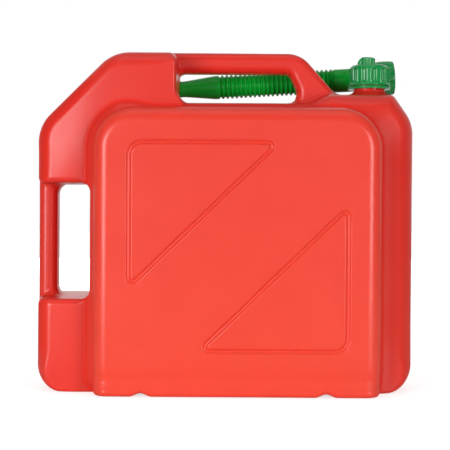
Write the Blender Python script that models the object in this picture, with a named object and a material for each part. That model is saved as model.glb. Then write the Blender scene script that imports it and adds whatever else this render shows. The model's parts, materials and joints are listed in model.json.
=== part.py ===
"""Plastic fuel can of the 20 litre class with a screw cap and a stored flexible pouring spout.

Blender 4.5, metres, +Z up. The can stands on the plane Z = 0, its front faces -Y, and X = 0 and
Y = 0 are the middle planes of its width and depth. The mould parts on the plane Y = 0.
"""

import math
from collections import namedtuple

import bmesh
import bpy
from mathutils import Matrix, Vector

MM = 0.001

# Clearances and mesh fineness
GAP = 0.3 * MM
ARC_STEP = math.radians(20)
EDGE_STEPS = 3
ROUND_STEPS = 28

# Tank: the slab that carries the corners, the shoulder and the block beside the carry handle
TANK_HALF_WIDTH = 203.4 * MM
TANK_HEIGHT = 363.5 * MM
SLAB_HALF_DEPTH = 64 * MM
SLAB_EDGE = 11 * MM
SLAB_BASE = 0.8 * MM
SIDE_DRAFT = 6 * MM
WALL = 2.4 * MM
BASE_RADIUS = 30 * MM
INNER_RADIUS = 10 * MM
CHAMFER_RADIUS = 48 * MM
CHAMFER_DROP = 82.5 * MM
CHAMFER_RUN = 81.4 * MM
BLOCK_EDGE_RADIUS = 8 * MM
PLATFORM_DROP = 43.5 * MM
PLATFORM_HEIGHT = TANK_HEIGHT - PLATFORM_DROP
SADDLE_DROP = 10 * MM
SADDLE_HEIGHT = PLATFORM_HEIGHT - SADDLE_DROP
SHOULDER_DROP = 34 * MM
SHOULDER_RUN = 24.4 * MM
SHOULDER_RADIUS = 42 * MM
NECK_INSET = 46.1 * MM
NECK_X = TANK_HALF_WIDTH - NECK_INSET
BLOCK_NECK_DISTANCE = 209.1 * MM
BLOCK_FACE_X = NECK_X - BLOCK_NECK_DISTANCE

# Tank: side grip
GRIP_FLOOR = 98.3 * MM
GRIP_DROP = 143.5 * MM
GRIP_TOP = TANK_HEIGHT - GRIP_DROP
GRIP_BAR_WIDTH = 20.6 * MM
GRIP_GAP_WIDTH = 41.3 * MM
GRIP_OPENING_LEFT = -TANK_HALF_WIDTH + GRIP_BAR_WIDTH
GRIP_OPENING_RIGHT = GRIP_OPENING_LEFT + GRIP_GAP_WIDTH
GRIP_LIP_RADIUS = 6 * MM
GAP_STEP = 0.5 * MM
BAR_HALF_DEPTH = 16 * MM
BAR_EDGE = 9.2 * MM
BAR_STEP = 0.4 * MM
BAR_CORNER = 8 * MM
GRIP_ROOT = 34 * MM

# Tank: carry handle and its leg
HANDLE_BAR_HEIGHT = 22.3 * MM
HANDLE_UNDERSIDE = TANK_HEIGHT - HANDLE_BAR_HEIGHT
HANDLE_OUTER_RADIUS = 24 * MM
HANDLE_ROOT = 40 * MM
HANDLE_SINK = 24 * MM
LEG_NECK_DISTANCE = 37.8 * MM
LEG_FOOT_X = NECK_X - LEG_NECK_DISTANCE
LEG_RUN = 39.5 * MM
LEG_INNER_RUN = 50.5 * MM
LEG_THICKNESS = 41 * MM
LEG_UNDERCUT = 9.5 * MM
LEG_BEND_RISE = 1 * MM
LEG_SINK = 14 * MM
SADDLE_STEP_X = LEG_FOOT_X - LEG_THICKNESS
SADDLE_STEP_RUN = 17 * MM

# Tank: raised panels and foot
PANEL_GRIP_MARGIN = 2.5 * MM
PANEL_LEFT = GRIP_OPENING_RIGHT + PANEL_GRIP_MARGIN
PANEL_SIDE_MARGIN = 38.9 * MM
PANEL_RIGHT = TANK_HALF_WIDTH - PANEL_SIDE_MARGIN
PANEL_SADDLE_DROP = 8.5 * MM
PANEL_TOP = SADDLE_HEIGHT - PANEL_SADDLE_DROP
PANEL_BASE = 12 * MM
PANEL_HALF_DEPTH = 97 * MM
PANEL_CORNER = 46 * MM
PANEL_EDGE = 13.5 * MM
PANEL_DRAFT = 3 * MM
PANEL_BLEND = 9 * MM
FOOT_HEIGHT = 17 * MM
FOOT_SETBACK = 2 * MM
FOOT_HALF_DEPTH = PANEL_HALF_DEPTH - FOOT_SETBACK
FOOT_CORNER = 19 * MM
FOOT_EDGE = 3.5 * MM
FOOT_INSET = 1 * MM
NOTCH_INSET = (53 * MM, 59.5 * MM)
NOTCH_X = (PANEL_LEFT + NOTCH_INSET[0], PANEL_RIGHT - NOTCH_INSET[1])
NOTCH_HALF_WIDTH = 10.4 * MM
NOTCH_HEIGHT = 3.5 * MM

# Tank: triangular grooves in the panel faces, each square in one corner of the panel
GROOVE_WIDTH = 5.6 * MM
GROOVE_FLOOR = 2.4 * MM
GROOVE_DEPTH = 1.3 * MM
GROOVE_SIDE = 153 * MM
GROOVE_RISE = 149 * MM
GROOVE_CORNER = 14 * MM
GROOVE_TIP = 4.5 * MM
GROOVE_SIDE_MARGIN = 40.2 * MM
GROOVE_TOP_MARGIN = 39.7 * MM
GROOVE_RIGHT_MARGIN = 37.9 * MM
GROOVE_BASE_MARGIN = 35.9 * MM
GROOVE_UPPER = (PANEL_LEFT + GROOVE_SIDE_MARGIN, PANEL_TOP - GROOVE_TOP_MARGIN)
GROOVE_LOWER = (PANEL_RIGHT - GROOVE_RIGHT_MARGIN, PANEL_BASE + GROOVE_BASE_MARGIN)

# Neck and its thread, with heights above the platform
NECK_HEIGHT = 26.4 * MM
NECK_TOP = PLATFORM_HEIGHT + NECK_HEIGHT
NECK_BORE = 13.9 * MM
NECK_RADIUS = 16.2 * MM
NECK_COLLAR = 16.7 * MM
NECK_FLARE = 20.8 * MM
NECK_FOOT = 17.4 * MM
BEAD_RADIUS = 17.9 * MM
BEAD_RISE = 10.2 * MM
BEAD_TOP = PLATFORM_HEIGHT + BEAD_RISE
BEAD_HEIGHT = 1.5 * MM
THREAD_CREST = 17.2 * MM
THREAD_PITCH = 4.2 * MM
THREAD_TURNS = 1.75
INNER_THREAD_TURNS = 1.5
THREAD_BASE = 1.8 * MM
THREAD_TOP_WIDTH = 1.0 * MM
THREAD_START = BEAD_TOP + 3.2 * MM
THREAD_ROOT_GAP = 0.4 * MM

# Tamper ring
RING_RISE = 5.3 * MM
RING_THICKNESS = 3 * MM
RING_BOTTOM = PLATFORM_HEIGHT + RING_RISE
RING_TOP = RING_BOTTOM + RING_THICKNESS
RING_RADIUS = 23.1 * MM
RING_LIP = 0.9 * MM

# Screw cap
CAP_RING_GAP = 0.7 * MM
CAP_BOTTOM = RING_TOP + CAP_RING_GAP
CAP_RADIUS = 21.4 * MM
CAP_FLANGE = 23.1 * MM
CAP_FLANGE_HEIGHT = 2.2 * MM
CAP_SHOULDER = 3.5 * MM
CAP_TOP_WALL = 3.0 * MM
GASKET_THICKNESS = 2.2 * MM
GASKET_BORE = 13.0 * MM
CAP_ROOF = NECK_TOP + GAP + GASKET_THICKNESS + GAP
CAP_TOP = CAP_ROOF + CAP_TOP_WALL
FLUTE_COUNT = 12
FLUTE_RADIUS = 4.0 * MM
FLUTE_DEPTH = 1.5 * MM
FLUTE_END = 2.0 * MM
THREAD_END_MARGIN = 2.2 * MM

# Vent spigot and flip-open vent cap
VENT_OFFSET = -1.4 * MM
SPIGOT_RADIUS = 5.0 * MM
SPIGOT_HEIGHT = 3.9 * MM
VENT_HOLE = 1.8 * MM
KNOB_RADIUS = 7.75 * MM
KNOB_HEIGHT = 7.8 * MM
KNOB_ROOF = 1.8 * MM
KNOB_CLEARANCE = 0.9 * MM
KNOB_FLUTES = 14
KNOB_FLUTE_DEPTH = 0.45 * MM
PIN_RADIUS = 1.2 * MM
PIN_REACH = 1.0 * MM
STRAP_GAP = 3.15 * MM
STRAP_REACH = KNOB_RADIUS + STRAP_GAP
STRAP_LAP = 2.5 * MM
STRAP_HALF_WIDTH = 3.2 * MM
STRAP_BARREL = 0.8 * MM
STRAP_THICKNESS = 1.6 * MM
STRAP_TOP_STEP = 0.5 * MM

# Stored spout: lengths run along its axis from the block's face
SPOUT_TILT = math.radians(3.5)
SPOUT_RISE = 8.3 * MM
SPOUT_Z = PLATFORM_HEIGHT + SPOUT_RISE
CUFF_RADIUS = 13.05 * MM
SPOUT_CAP_GAP = 5.85 * MM
SPOUT_Y = CAP_FLANGE + SPOUT_CAP_GAP + CUFF_RADIUS
TIP_DEPTH = 25 * MM
TIP_RADIUS = 9.0 * MM
SOCKET_GAP = 0.3 * MM
TAPER_START = 7.6 * MM
TAPER_LENGTH = 30.6 * MM
TAPER_END = TAPER_START + TAPER_LENGTH
COLLAR_LENGTH = 6.3 * MM
RIB_START = TAPER_END + COLLAR_LENGTH
RIB_COUNT = 25
RIB_PITCH = 5.12 * MM
RIB_END = RIB_START + RIB_COUNT * RIB_PITCH
RIB_CREST = 13.85 * MM
RIB_ROOT = 11.7 * MM
CUFF_LENGTH = 48.3 * MM
SPOUT_WALL = 1.3 * MM
SPOUT_FLANGE = 16.0 * MM
SPOUT_FLANGE_THICKNESS = 2.4 * MM
SPOUT_SIDES = 20
LUG_SIZE = 2.2 * MM
LUG_PLACE = 13 * MM
LUG_ANGLES = (math.radians(124), math.radians(236))

# Union nut
NUT_START = RIB_END + CUFF_LENGTH
NUT_LENGTH = 23 * MM
NUT_RADIUS = 19.1 * MM
NUT_SHOULDER = 2.5 * MM
NUT_RIM = 2.4 * MM
NUT_RIBS = 18
NUT_RIB_DEPTH = 0.7 * MM
NUT_RIB_RUNOUT = 0.5 * MM
NUT_EDGE = 1.2 * MM
NUT_BORE_GAP = 0.4 * MM

# Cradle behind the neck that carries the spout's cuff, clear of the ribs when the spout is pulled
CRADLE_LENGTH = 18 * MM
CRADLE_OFFSET = 1.3 * MM
CRADLE_X = NECK_X - CRADLE_OFFSET
CRADLE_HALF_DEPTH = CUFF_RADIUS + 0.45 * MM
CRADLE_RISE = 12 * MM
CRADLE_EDGE = 2 * MM

Corner = namedtuple("Corner", "x z radius draft edge")
Corner.__doc__ = "A corner, its radius, and how far the edge that starts at it is drafted and rounded."

COLOURS = {
    "red_polyethylene": ((0.80, 0.055, 0.035, 1.0), 0.38),
    "light_green": ((0.012, 0.30, 0.075, 1.0), 0.28),
    "dark_green": ((0.006, 0.17, 0.022, 1.0), 0.35),
    "gasket_rubber": ((0.03, 0.03, 0.03, 1.0), 0.75),
}


def clear_scene():
    for item in list(bpy.data.objects):
        bpy.data.objects.remove(item, do_unlink=True)


def material(name):
    colour, roughness = COLOURS[name]
    made = bpy.data.materials.new(name)
    made.use_nodes = True
    shader = made.node_tree.nodes["Principled BSDF"]
    shader.inputs["Base Color"].default_value = colour
    shader.inputs["Roughness"].default_value = roughness
    shader.inputs["Metallic"].default_value = 0.0
    return made


def add_object(name, shape, finish=None, parent=None):
    """An object made from a bmesh, shaded smooth up to 35 degrees."""
    bmesh.ops.recalc_face_normals(shape, faces=shape.faces)
    mesh = bpy.data.meshes.new(name)
    shape.to_mesh(mesh)
    shape.free()
    mesh.shade_smooth()
    mesh.set_sharp_from_angle(angle=math.radians(35))
    made = bpy.data.objects.new(name, mesh)
    bpy.context.scene.collection.objects.link(made)
    if finish:
        mesh.materials.append(finish)
    made.parent = parent
    return made


def add_helper(name, shape, parent=None):
    """A shape that only cuts or joins: it isn't a piece of the can."""
    made = add_object(name, shape, parent=parent)
    made.hide_render = True
    made.display_type = "WIRE"
    return made


def add_empty(name, place, parent=None, tilt=0.0):
    made = bpy.data.objects.new(name, None)
    bpy.context.scene.collection.objects.link(made)
    made.parent = parent
    made.location = place
    made.rotation_euler = (0.0, -tilt, 0.0)
    return made


def combine(target, helper, operation):
    step = target.modifiers.new(helper.name, "BOOLEAN")
    step.operation = operation
    step.object = helper
    step.solver = "EXACT"


def moved_edges(corners, draft, edge, inset):
    """Each edge of an outline as a point and a direction, moved inwards by its own amount."""
    edges = []
    for index, corner in enumerate(corners):
        after = corners[(index + 1) % len(corners)]
        along = Vector((after.x - corner.x, after.z - corner.z)).normalized()
        distance = draft * corner.draft + edge * corner.edge + inset
        start = Vector((corner.x, corner.z)) + Vector((-along.y, along.x)) * distance
        edges.append((start, along, distance))
    return edges


def outline(corners, draft=0.0, edge=0.0, inset=0.0):
    """The rounded outline, counter-clockwise, drawn inwards by draft, edge rounding and inset."""
    edges = moved_edges(corners, draft, edge, inset)
    points = []
    for index, corner in enumerate(corners):
        start_in, along_in, distance_in = edges[index - 1]
        start_out, along_out, distance_out = edges[index]
        turn = along_in.x * along_out.y - along_in.y * along_out.x
        reach = (start_out - start_in).cross(along_out) / turn
        vertex = start_in + along_in * reach
        angle = math.atan2(turn, along_in.dot(along_out))
        change = (distance_in + distance_out) / 2
        radius = max(corner.radius - math.copysign(change, angle), 0.6 * MM)
        steps = max(2, round(abs(angle) / ARC_STEP))
        tangent = radius * math.tan(abs(angle) / 2)
        side = math.copysign(1.0, angle)
        centre = vertex - along_in * tangent + Vector((-along_in.y, along_in.x)) * side * radius
        first = math.atan2(-side * along_in.x, side * along_in.y)
        for step in range(steps + 1):
            at = first + angle * step / steps
            points.append(centre + Vector((math.cos(at), math.sin(at))) * radius)
    return points


def loft(sections):
    """A closed solid through outlines in X and Z, each with its own Y, front to back."""
    shape = bmesh.new()
    loops = []
    for depth, points in sections:
        loops.append([shape.verts.new((point.x, depth, point.y)) for point in points])
    for front, back in zip(loops, loops[1:]):
        for index in range(len(front)):
            after = (index + 1) % len(front)
            shape.faces.new((front[index], back[index], back[after], front[after]))
    shape.faces.new(loops[0])
    shape.faces.new(list(reversed(loops[-1])))
    return shape


def slab_sections(corners, half_depth, edge, draft, inset=0.0, blend=0.0, blend_depth=0.0):
    """Outlines of a slab with rounded front and back edges, mirrored about Y = 0."""
    half = half_depth - inset
    rounding = max(edge - inset, 1.5 * MM)
    front = []
    for step in range(EDGE_STEPS + 1):
        angle = math.pi / 2 * step / EDGE_STEPS
        depth = half - rounding * (1 - math.cos(angle))
        narrowed = rounding * (1 - math.sin(angle))
        front.append((-depth, outline(corners, draft * depth / half, narrowed, inset)))
    if blend:
        for step in range(1, 4):
            angle = math.pi / 2 * step / 3
            depth = blend_depth - inset + blend * (1 - math.sin(angle))
            widened = blend * (1 - math.cos(angle))
            front.append((-depth, outline(widen(corners, widened), draft * depth / half, 0, inset)))
    middle = [] if blend else [(0.0, outline(corners, 0.0, 0.0, inset))]
    back = [(-depth, points) for depth, points in reversed(front)]
    return front + middle + back


def widen(corners, amount):
    """The panel's corners with the left side moved out, where it blends into the slab."""
    return [
        corner._replace(x=corner.x - amount) if corner.x < 0 else corner for corner in corners
    ]


def lathe(profile, sides, closed=True):
    """A solid turned about Z from points of radius and height."""
    shape = bmesh.new()
    points = [shape.verts.new((radius, 0.0, height)) for radius, height in profile]
    pairs = list(zip(points, points[1:]))
    if closed:
        pairs.append((points[-1], points[0]))
    edges = [shape.edges.new(pair) for pair in pairs]
    bmesh.ops.spin(
        shape,
        geom=points + edges,
        cent=(0.0, 0.0, 0.0),
        axis=(0.0, 0.0, 1.0),
        angle=2 * math.pi,
        steps=sides,
        use_merge=True,
    )
    bmesh.ops.remove_doubles(shape, verts=shape.verts, dist=0.001 * MM)
    return shape


def fluted(sections, ribs, depth):
    """A solid through rings of radius, height and groove share, with grooves along its side."""
    shape = bmesh.new()
    pattern = (0.0, 0.0, 1.0, 1.0)
    count = ribs * len(pattern)
    rings = []
    for radius, height, share in sections:
        ring = []
        for index in range(count):
            reach = radius - depth * share * pattern[index % len(pattern)]
            angle = 2 * math.pi * index / count
            ring.append(
                shape.verts.new((reach * math.cos(angle), reach * math.sin(angle), height))
            )
        rings.append(ring)
    for low, high in zip(rings, rings[1:]):
        for index in range(count):
            after = (index + 1) % count
            shape.faces.new((low[index], low[after], high[after], high[index]))
    shape.faces.new(list(reversed(rings[0])))
    shape.faces.new(rings[-1])
    return shape


def thread(root, crest, start, turns):
    """A helical ridge between two radii, its ends run out to the root."""
    shape = bmesh.new()
    steps = round(ROUND_STEPS * turns)
    direction = math.copysign(1.0, crest - root)
    buried = root - direction * THREAD_ROOT_GAP
    sections = []
    for step in range(steps + 1):
        angle = 2 * math.pi * (step + 0.5) / ROUND_STEPS
        height = start + THREAD_PITCH * step / ROUND_STEPS
        fade = min(1.0, step / 3, (steps - step) / 3)
        top = root + (crest - root) * max(fade, 0.15)
        corners = (
            (buried, -THREAD_BASE / 2),
            (top, -THREAD_TOP_WIDTH / 2),
            (top, THREAD_TOP_WIDTH / 2),
            (buried, THREAD_BASE / 2),
        )
        sections.append(
            [
                shape.verts.new((r * math.cos(angle), r * math.sin(angle), height + dz))
                for r, dz in corners
            ]
        )
    for low, high in zip(sections, sections[1:]):
        for index in range(4):
            after = (index + 1) % 4
            shape.faces.new((low[index], low[after], high[after], high[index]))
    shape.faces.new(sections[0])
    shape.faces.new(list(reversed(sections[-1])))
    return shape


def rod(radius, start, end, sides=ROUND_STEPS):
    """A plain cylinder about Z."""
    return lathe([(0.0, start), (radius, start), (radius, end), (0.0, end)], sides, closed=False)


def slab_corners():
    """The can's outline, without the carry handle and the side grip, at the parting plane."""
    width = TANK_HALF_WIDTH
    return [
        Corner(-width, SLAB_BASE, BASE_RADIUS, 0.0, 0.4),
        Corner(width, SLAB_BASE, BASE_RADIUS, 1.0, 2.2),
        Corner(width, PLATFORM_HEIGHT - SHOULDER_DROP, SHOULDER_RADIUS, 0.9, 1.5),
        Corner(width - SHOULDER_RUN, PLATFORM_HEIGHT, 9 * MM, 0.7, 1.0),
        Corner(SADDLE_STEP_X + SADDLE_STEP_RUN, PLATFORM_HEIGHT, 10 * MM, 0.7, 1.0),
        Corner(SADDLE_STEP_X, SADDLE_HEIGHT, INNER_RADIUS, 0.7, 1.0),
        Corner(BLOCK_FACE_X, SADDLE_HEIGHT, INNER_RADIUS, 0.0, 0.6),
        Corner(BLOCK_FACE_X, TANK_HEIGHT, BLOCK_EDGE_RADIUS, 0.7, 1.0),
        Corner(-width + CHAMFER_RUN, TANK_HEIGHT, CHAMFER_RADIUS, 0.8, 1.0),
        Corner(-width, TANK_HEIGHT - CHAMFER_DROP, CHAMFER_RADIUS, 1.0, 0.8),
        Corner(-width, GRIP_TOP, GRIP_LIP_RADIUS, 0.0, 0.4),
        Corner(GRIP_OPENING_RIGHT, GRIP_TOP, INNER_RADIUS, 0.0, 0.0),
        Corner(GRIP_OPENING_RIGHT, GRIP_FLOOR, INNER_RADIUS, 0.0, 0.4),
        Corner(-width, GRIP_FLOOR, GRIP_LIP_RADIUS, 1.0, 0.8),
    ]


def panel_corners():
    return [
        Corner(PANEL_LEFT, PANEL_BASE, 8 * MM, 0.0, 1.0),
        Corner(PANEL_RIGHT, PANEL_BASE, 8 * MM, 1.0, 1.0),
        Corner(PANEL_RIGHT, PANEL_TOP, PANEL_CORNER, 1.0, 1.0),
        Corner(PANEL_LEFT, PANEL_TOP, PANEL_CORNER, 1.0, 1.0),
    ]


def grip_corners():
    """The side grip's bar, with both ends sunk in the slab."""
    outer = -TANK_HALF_WIDTH + BAR_STEP
    inner = GRIP_OPENING_LEFT
    root = inner + GRIP_ROOT
    return [
        Corner(outer, GRIP_FLOOR - GRIP_ROOT, 1 * MM, 0.0, 1.0),
        Corner(root, GRIP_FLOOR - GRIP_ROOT, 1 * MM, 0.0, 1.0),
        Corner(root, GRIP_FLOOR - 2 * MM, 1 * MM, 0.0, 1.0),
        Corner(inner, GRIP_FLOOR + 0.5 * MM, BAR_CORNER, 0.0, 1.0),
        Corner(inner, GRIP_TOP - 0.5 * MM, BAR_CORNER, 0.0, 1.0),
        Corner(root, GRIP_TOP + 2 * MM, 1 * MM, 0.0, 1.0),
        Corner(root, GRIP_TOP + GRIP_ROOT, 1 * MM, 0.0, 1.0),
        Corner(outer, GRIP_TOP + GRIP_ROOT, 1 * MM, 0.0, 1.0),
    ]


def handle_corners():
    """The carry handle and its leg, with both ends sunk in the slab."""
    top = TANK_HEIGHT - BAR_STEP
    under = HANDLE_UNDERSIDE
    sunk = BLOCK_FACE_X - HANDLE_ROOT
    leg_top = LEG_FOOT_X - LEG_RUN
    bend = LEG_FOOT_X - LEG_THICKNESS
    leg_sink = SADDLE_HEIGHT - LEG_SINK
    return [
        Corner(sunk, under - HANDLE_SINK, 1 * MM, 0.0, 1.0),
        Corner(BLOCK_FACE_X - 3 * MM, under - HANDLE_SINK, 1 * MM, 0.0, 1.0),
        Corner(BLOCK_FACE_X + 1 * MM, under, BAR_CORNER, 0.0, 1.0),
        Corner(LEG_FOOT_X - LEG_INNER_RUN, under, BAR_CORNER, 0.0, 1.0),
        Corner(bend, PLATFORM_HEIGHT + LEG_BEND_RISE, 12 * MM, 0.0, 1.0),
        Corner(bend - LEG_UNDERCUT, leg_sink, 1 * MM, 0.0, 1.0),
        Corner(LEG_FOOT_X + 10 * MM, leg_sink, 1 * MM, 0.0, 1.0),
        Corner(LEG_FOOT_X, PLATFORM_HEIGHT, 4 * MM, 0.0, 1.0),
        Corner(leg_top, top, HANDLE_OUTER_RADIUS, 0.0, 1.0),
        Corner(sunk, top, 1 * MM, 0.0, 1.0),
    ]


def foot_shape(inset=0.0):
    """The foot band: rounded in plan, standing on Z = 0."""
    left = PANEL_LEFT + FOOT_INSET
    right = PANEL_RIGHT - FOOT_INSET
    corners = [
        Corner(left, -FOOT_HALF_DEPTH, FOOT_CORNER, 0.0, 1.0),
        Corner(right, -FOOT_HALF_DEPTH, FOOT_CORNER, 0.0, 1.0),
        Corner(right, FOOT_HALF_DEPTH, FOOT_CORNER, 0.0, 1.0),
        Corner(left, FOOT_HALF_DEPTH, FOOT_CORNER, 0.0, 1.0),
    ]
    shape = bmesh.new()
    levels = (
        (inset, FOOT_EDGE),
        (inset + FOOT_EDGE * 0.3, FOOT_EDGE * 0.3),
        (inset + FOOT_EDGE, 0.0),
        (FOOT_HEIGHT - FOOT_EDGE, 0.0),
        (FOOT_HEIGHT, FOOT_EDGE),
    )
    loops = []
    for height, narrowed in levels:
        points = outline(corners, 0.0, narrowed, inset)
        loops.append([shape.verts.new((point.x, point.y, height)) for point in points])
    for low, high in zip(loops, loops[1:]):
        for index in range(len(low)):
            after = (index + 1) % len(low)
            shape.faces.new((low[index], low[after], high[after], high[index]))
    shape.faces.new(list(reversed(loops[0])))
    shape.faces.new(loops[-1])
    return shape


def triangle_corners(square_x, square_z, direction):
    """A right triangle with its square corner rounded; direction -1 turns it half round."""
    return [
        Corner(square_x, square_z, GROOVE_CORNER, 0.0, 1.0),
        Corner(square_x, square_z - direction * GROOVE_RISE, GROOVE_TIP, 0.0, 1.0),
        Corner(square_x + direction * GROOVE_SIDE, square_z, GROOVE_TIP, 0.0, 1.0),
    ]


def groove_shape(corners, face):
    """A ring along the triangle that cuts a groove with sloping sides into the face at Y = face."""
    shape = bmesh.new()
    outwards = math.copysign(1.0, face)
    above = face + outwards * 1 * MM
    below = face - outwards * GROOVE_DEPTH
    slope = (GROOVE_WIDTH - GROOVE_FLOOR) / 2
    spread = slope * 1 * MM / GROOVE_DEPTH
    rings = (
        (above, -GROOVE_WIDTH / 2 - spread),
        (below, -GROOVE_FLOOR / 2),
        (below, GROOVE_FLOOR / 2),
        (above, GROOVE_WIDTH / 2 + spread),
    )
    loops = []
    for depth, inset in rings:
        points = outline(corners, 0.0, 0.0, inset)
        loops.append([shape.verts.new((point.x, depth, point.y)) for point in points])
    for number, loop in enumerate(loops):
        following = loops[(number + 1) % len(loops)]
        for index in range(len(loop)):
            after = (index + 1) % len(loop)
            shape.faces.new((loop[index], loop[after], following[after], following[index]))
    return shape


def panel_sections(inset=0.0):
    return slab_sections(
        panel_corners(),
        PANEL_HALF_DEPTH,
        PANEL_EDGE,
        PANEL_DRAFT,
        inset,
        blend=PANEL_BLEND,
        blend_depth=SLAB_HALF_DEPTH - 0.5 * MM,
    )


def gap_shape(wall):
    """The side grip's finger gap where it crosses the panel's blend, grown by wall."""
    left = PANEL_LEFT - PANEL_BLEND - 10 * MM
    right = GRIP_OPENING_RIGHT + GAP_STEP
    corners = [
        Corner(left, GRIP_FLOOR, 1 * MM, 0.0, 0.0),
        Corner(right, GRIP_FLOOR, INNER_RADIUS, 0.0, 0.0),
        Corner(right, GRIP_TOP, INNER_RADIUS, 0.0, 0.0),
        Corner(left, GRIP_TOP, 1 * MM, 0.0, 0.0),
    ]
    points = outline(corners, inset=-wall)
    reach = PANEL_HALF_DEPTH + 5 * MM
    return loft([(-reach, points), (reach, points)])


def body_helpers(prefix, inset=0.0):
    """The grip, handle, panel and foot that join the slab, drawn inwards by inset."""
    grip = loft(slab_sections(grip_corners(), BAR_HALF_DEPTH, BAR_EDGE, 0.0, inset))
    handle = loft(slab_sections(handle_corners(), BAR_HALF_DEPTH, BAR_EDGE, 0.0, inset))
    panel = add_helper(prefix + "_panel", loft(panel_sections(inset)))
    combine(panel, add_helper(prefix + "_gap", gap_shape(inset)), "DIFFERENCE")
    return [
        add_helper(prefix + "_grip", grip),
        add_helper(prefix + "_handle", handle),
        panel,
        add_helper(prefix + "_foot", foot_shape(inset)),
    ]


def notch_helpers(prefix, extra=0.0):
    """Cylinders along Y that arch over the foot's two channels."""
    radius = (NOTCH_HALF_WIDTH**2 + NOTCH_HEIGHT**2) / (2 * NOTCH_HEIGHT)
    made = []
    for number, place in enumerate(NOTCH_X):
        reach = PANEL_HALF_DEPTH + 5 * MM
        arch = add_helper(f"{prefix}_{number}", rod(radius + extra, -reach, reach))
        arch.rotation_euler = (math.pi / 2, 0.0, 0.0)
        arch.location = (place, 0.0, NOTCH_HEIGHT - radius)
        made.append(arch)
    return made


def neck_shape():
    bead_bottom = BEAD_TOP - BEAD_HEIGHT
    profile = [
        (0.0, PLATFORM_HEIGHT - 5 * MM),
        (NECK_FLARE, PLATFORM_HEIGHT - 5 * MM),
        (NECK_FLARE, PLATFORM_HEIGHT - 2 * MM),
        (NECK_FOOT + 1.5 * MM, PLATFORM_HEIGHT + 0.3 * MM),
        (NECK_FOOT + 0.3 * MM, PLATFORM_HEIGHT + 2.2 * MM),
        (NECK_FOOT, RING_BOTTOM - GAP),
        (NECK_COLLAR, RING_BOTTOM - GAP),
        (NECK_COLLAR, bead_bottom),
        (BEAD_RADIUS, bead_bottom + 0.3 * MM),
        (BEAD_RADIUS, BEAD_TOP - 0.4 * MM),
        (NECK_RADIUS, BEAD_TOP + 0.4 * MM),
        (NECK_RADIUS, NECK_TOP - 0.8 * MM),
        (NECK_RADIUS - 0.8 * MM, NECK_TOP),
        (0.0, NECK_TOP),
    ]
    return lathe(profile, ROUND_STEPS, closed=False)


def cradle_shape():
    shape = bmesh.new()
    start = CRADLE_X - CRADLE_LENGTH / 2
    low = Vector((start, SPOUT_Y - CRADLE_HALF_DEPTH, SADDLE_HEIGHT))
    high = low + Vector((CRADLE_LENGTH, 2 * CRADLE_HALF_DEPTH, SADDLE_DROP + CRADLE_RISE))
    bmesh.ops.create_cube(
        shape,
        size=1.0,
        matrix=Matrix.Translation((low + high) / 2) @ Matrix.Diagonal((*(high - low), 1.0)),
    )
    bmesh.ops.bevel(
        shape,
        geom=list(shape.edges),
        offset=CRADLE_EDGE,
        offset_type="OFFSET",
        segments=2,
        profile=0.5,
        affect="EDGES",
    )
    return shape


def make_tank(finish, neck_axis, spout_axis):
    tank = add_object(
        "tank",
        loft(slab_sections(slab_corners(), SLAB_HALF_DEPTH, SLAB_EDGE, SIDE_DRAFT)),
        finish,
    )
    cavity = add_helper(
        "cavity",
        loft(slab_sections(slab_corners(), SLAB_HALF_DEPTH, SLAB_EDGE, SIDE_DRAFT, WALL)),
    )
    neck = add_helper("neck", neck_shape(), neck_axis)
    ridge = thread(NECK_RADIUS, THREAD_CREST, THREAD_START, THREAD_TURNS)
    neck_thread = add_helper("neck_thread", ridge, neck_axis)
    bore = add_helper("neck_bore", rod(NECK_BORE, SADDLE_HEIGHT, NECK_TOP + 5 * MM), neck_axis)
    bore.rotation_euler = (0.0, 0.0, math.pi / ROUND_STEPS)
    cradle = add_helper("cradle", cradle_shape())
    trough = add_helper(
        "cradle_trough", rod(CUFF_RADIUS + GAP, RIB_START, NUT_START, 24), spout_axis
    )
    socket_bottom = -TIP_DEPTH - GAP
    socket = add_helper(
        "socket", rod(TIP_RADIUS + SOCKET_GAP, socket_bottom, 15 * MM, 24), spout_axis
    )
    sleeve = add_helper(
        "socket_wall",
        rod(TIP_RADIUS + SOCKET_GAP + WALL, socket_bottom - WALL, 15 * MM, 24),
        spout_axis,
    )
    for helper in body_helpers("outer"):
        combine(tank, helper, "UNION")
    combine(tank, neck, "UNION")
    combine(tank, neck_thread, "UNION")
    combine(tank, cradle, "UNION")
    combine(tank, trough, "DIFFERENCE")
    for helper in body_helpers("inner", WALL):
        combine(cavity, helper, "UNION")
    for helper in notch_helpers("notch_wall", WALL):
        combine(cavity, helper, "DIFFERENCE")
    combine(cavity, sleeve, "DIFFERENCE")
    combine(cavity, bore, "UNION")
    combine(tank, cavity, "DIFFERENCE")
    combine(tank, socket, "DIFFERENCE")
    for helper in notch_helpers("notch"):
        combine(tank, helper, "DIFFERENCE")
    triangles = (
        ("upper", triangle_corners(*GROOVE_UPPER, 1.0)),
        ("lower", triangle_corners(*GROOVE_LOWER, -1.0)),
    )
    for name, corners in triangles:
        for side, face in (("front", -PANEL_HALF_DEPTH), ("back", PANEL_HALF_DEPTH)):
            helper = add_helper(f"groove_{name}_{side}", groove_shape(corners, face))
            combine(tank, helper, "DIFFERENCE")
    return tank


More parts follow.
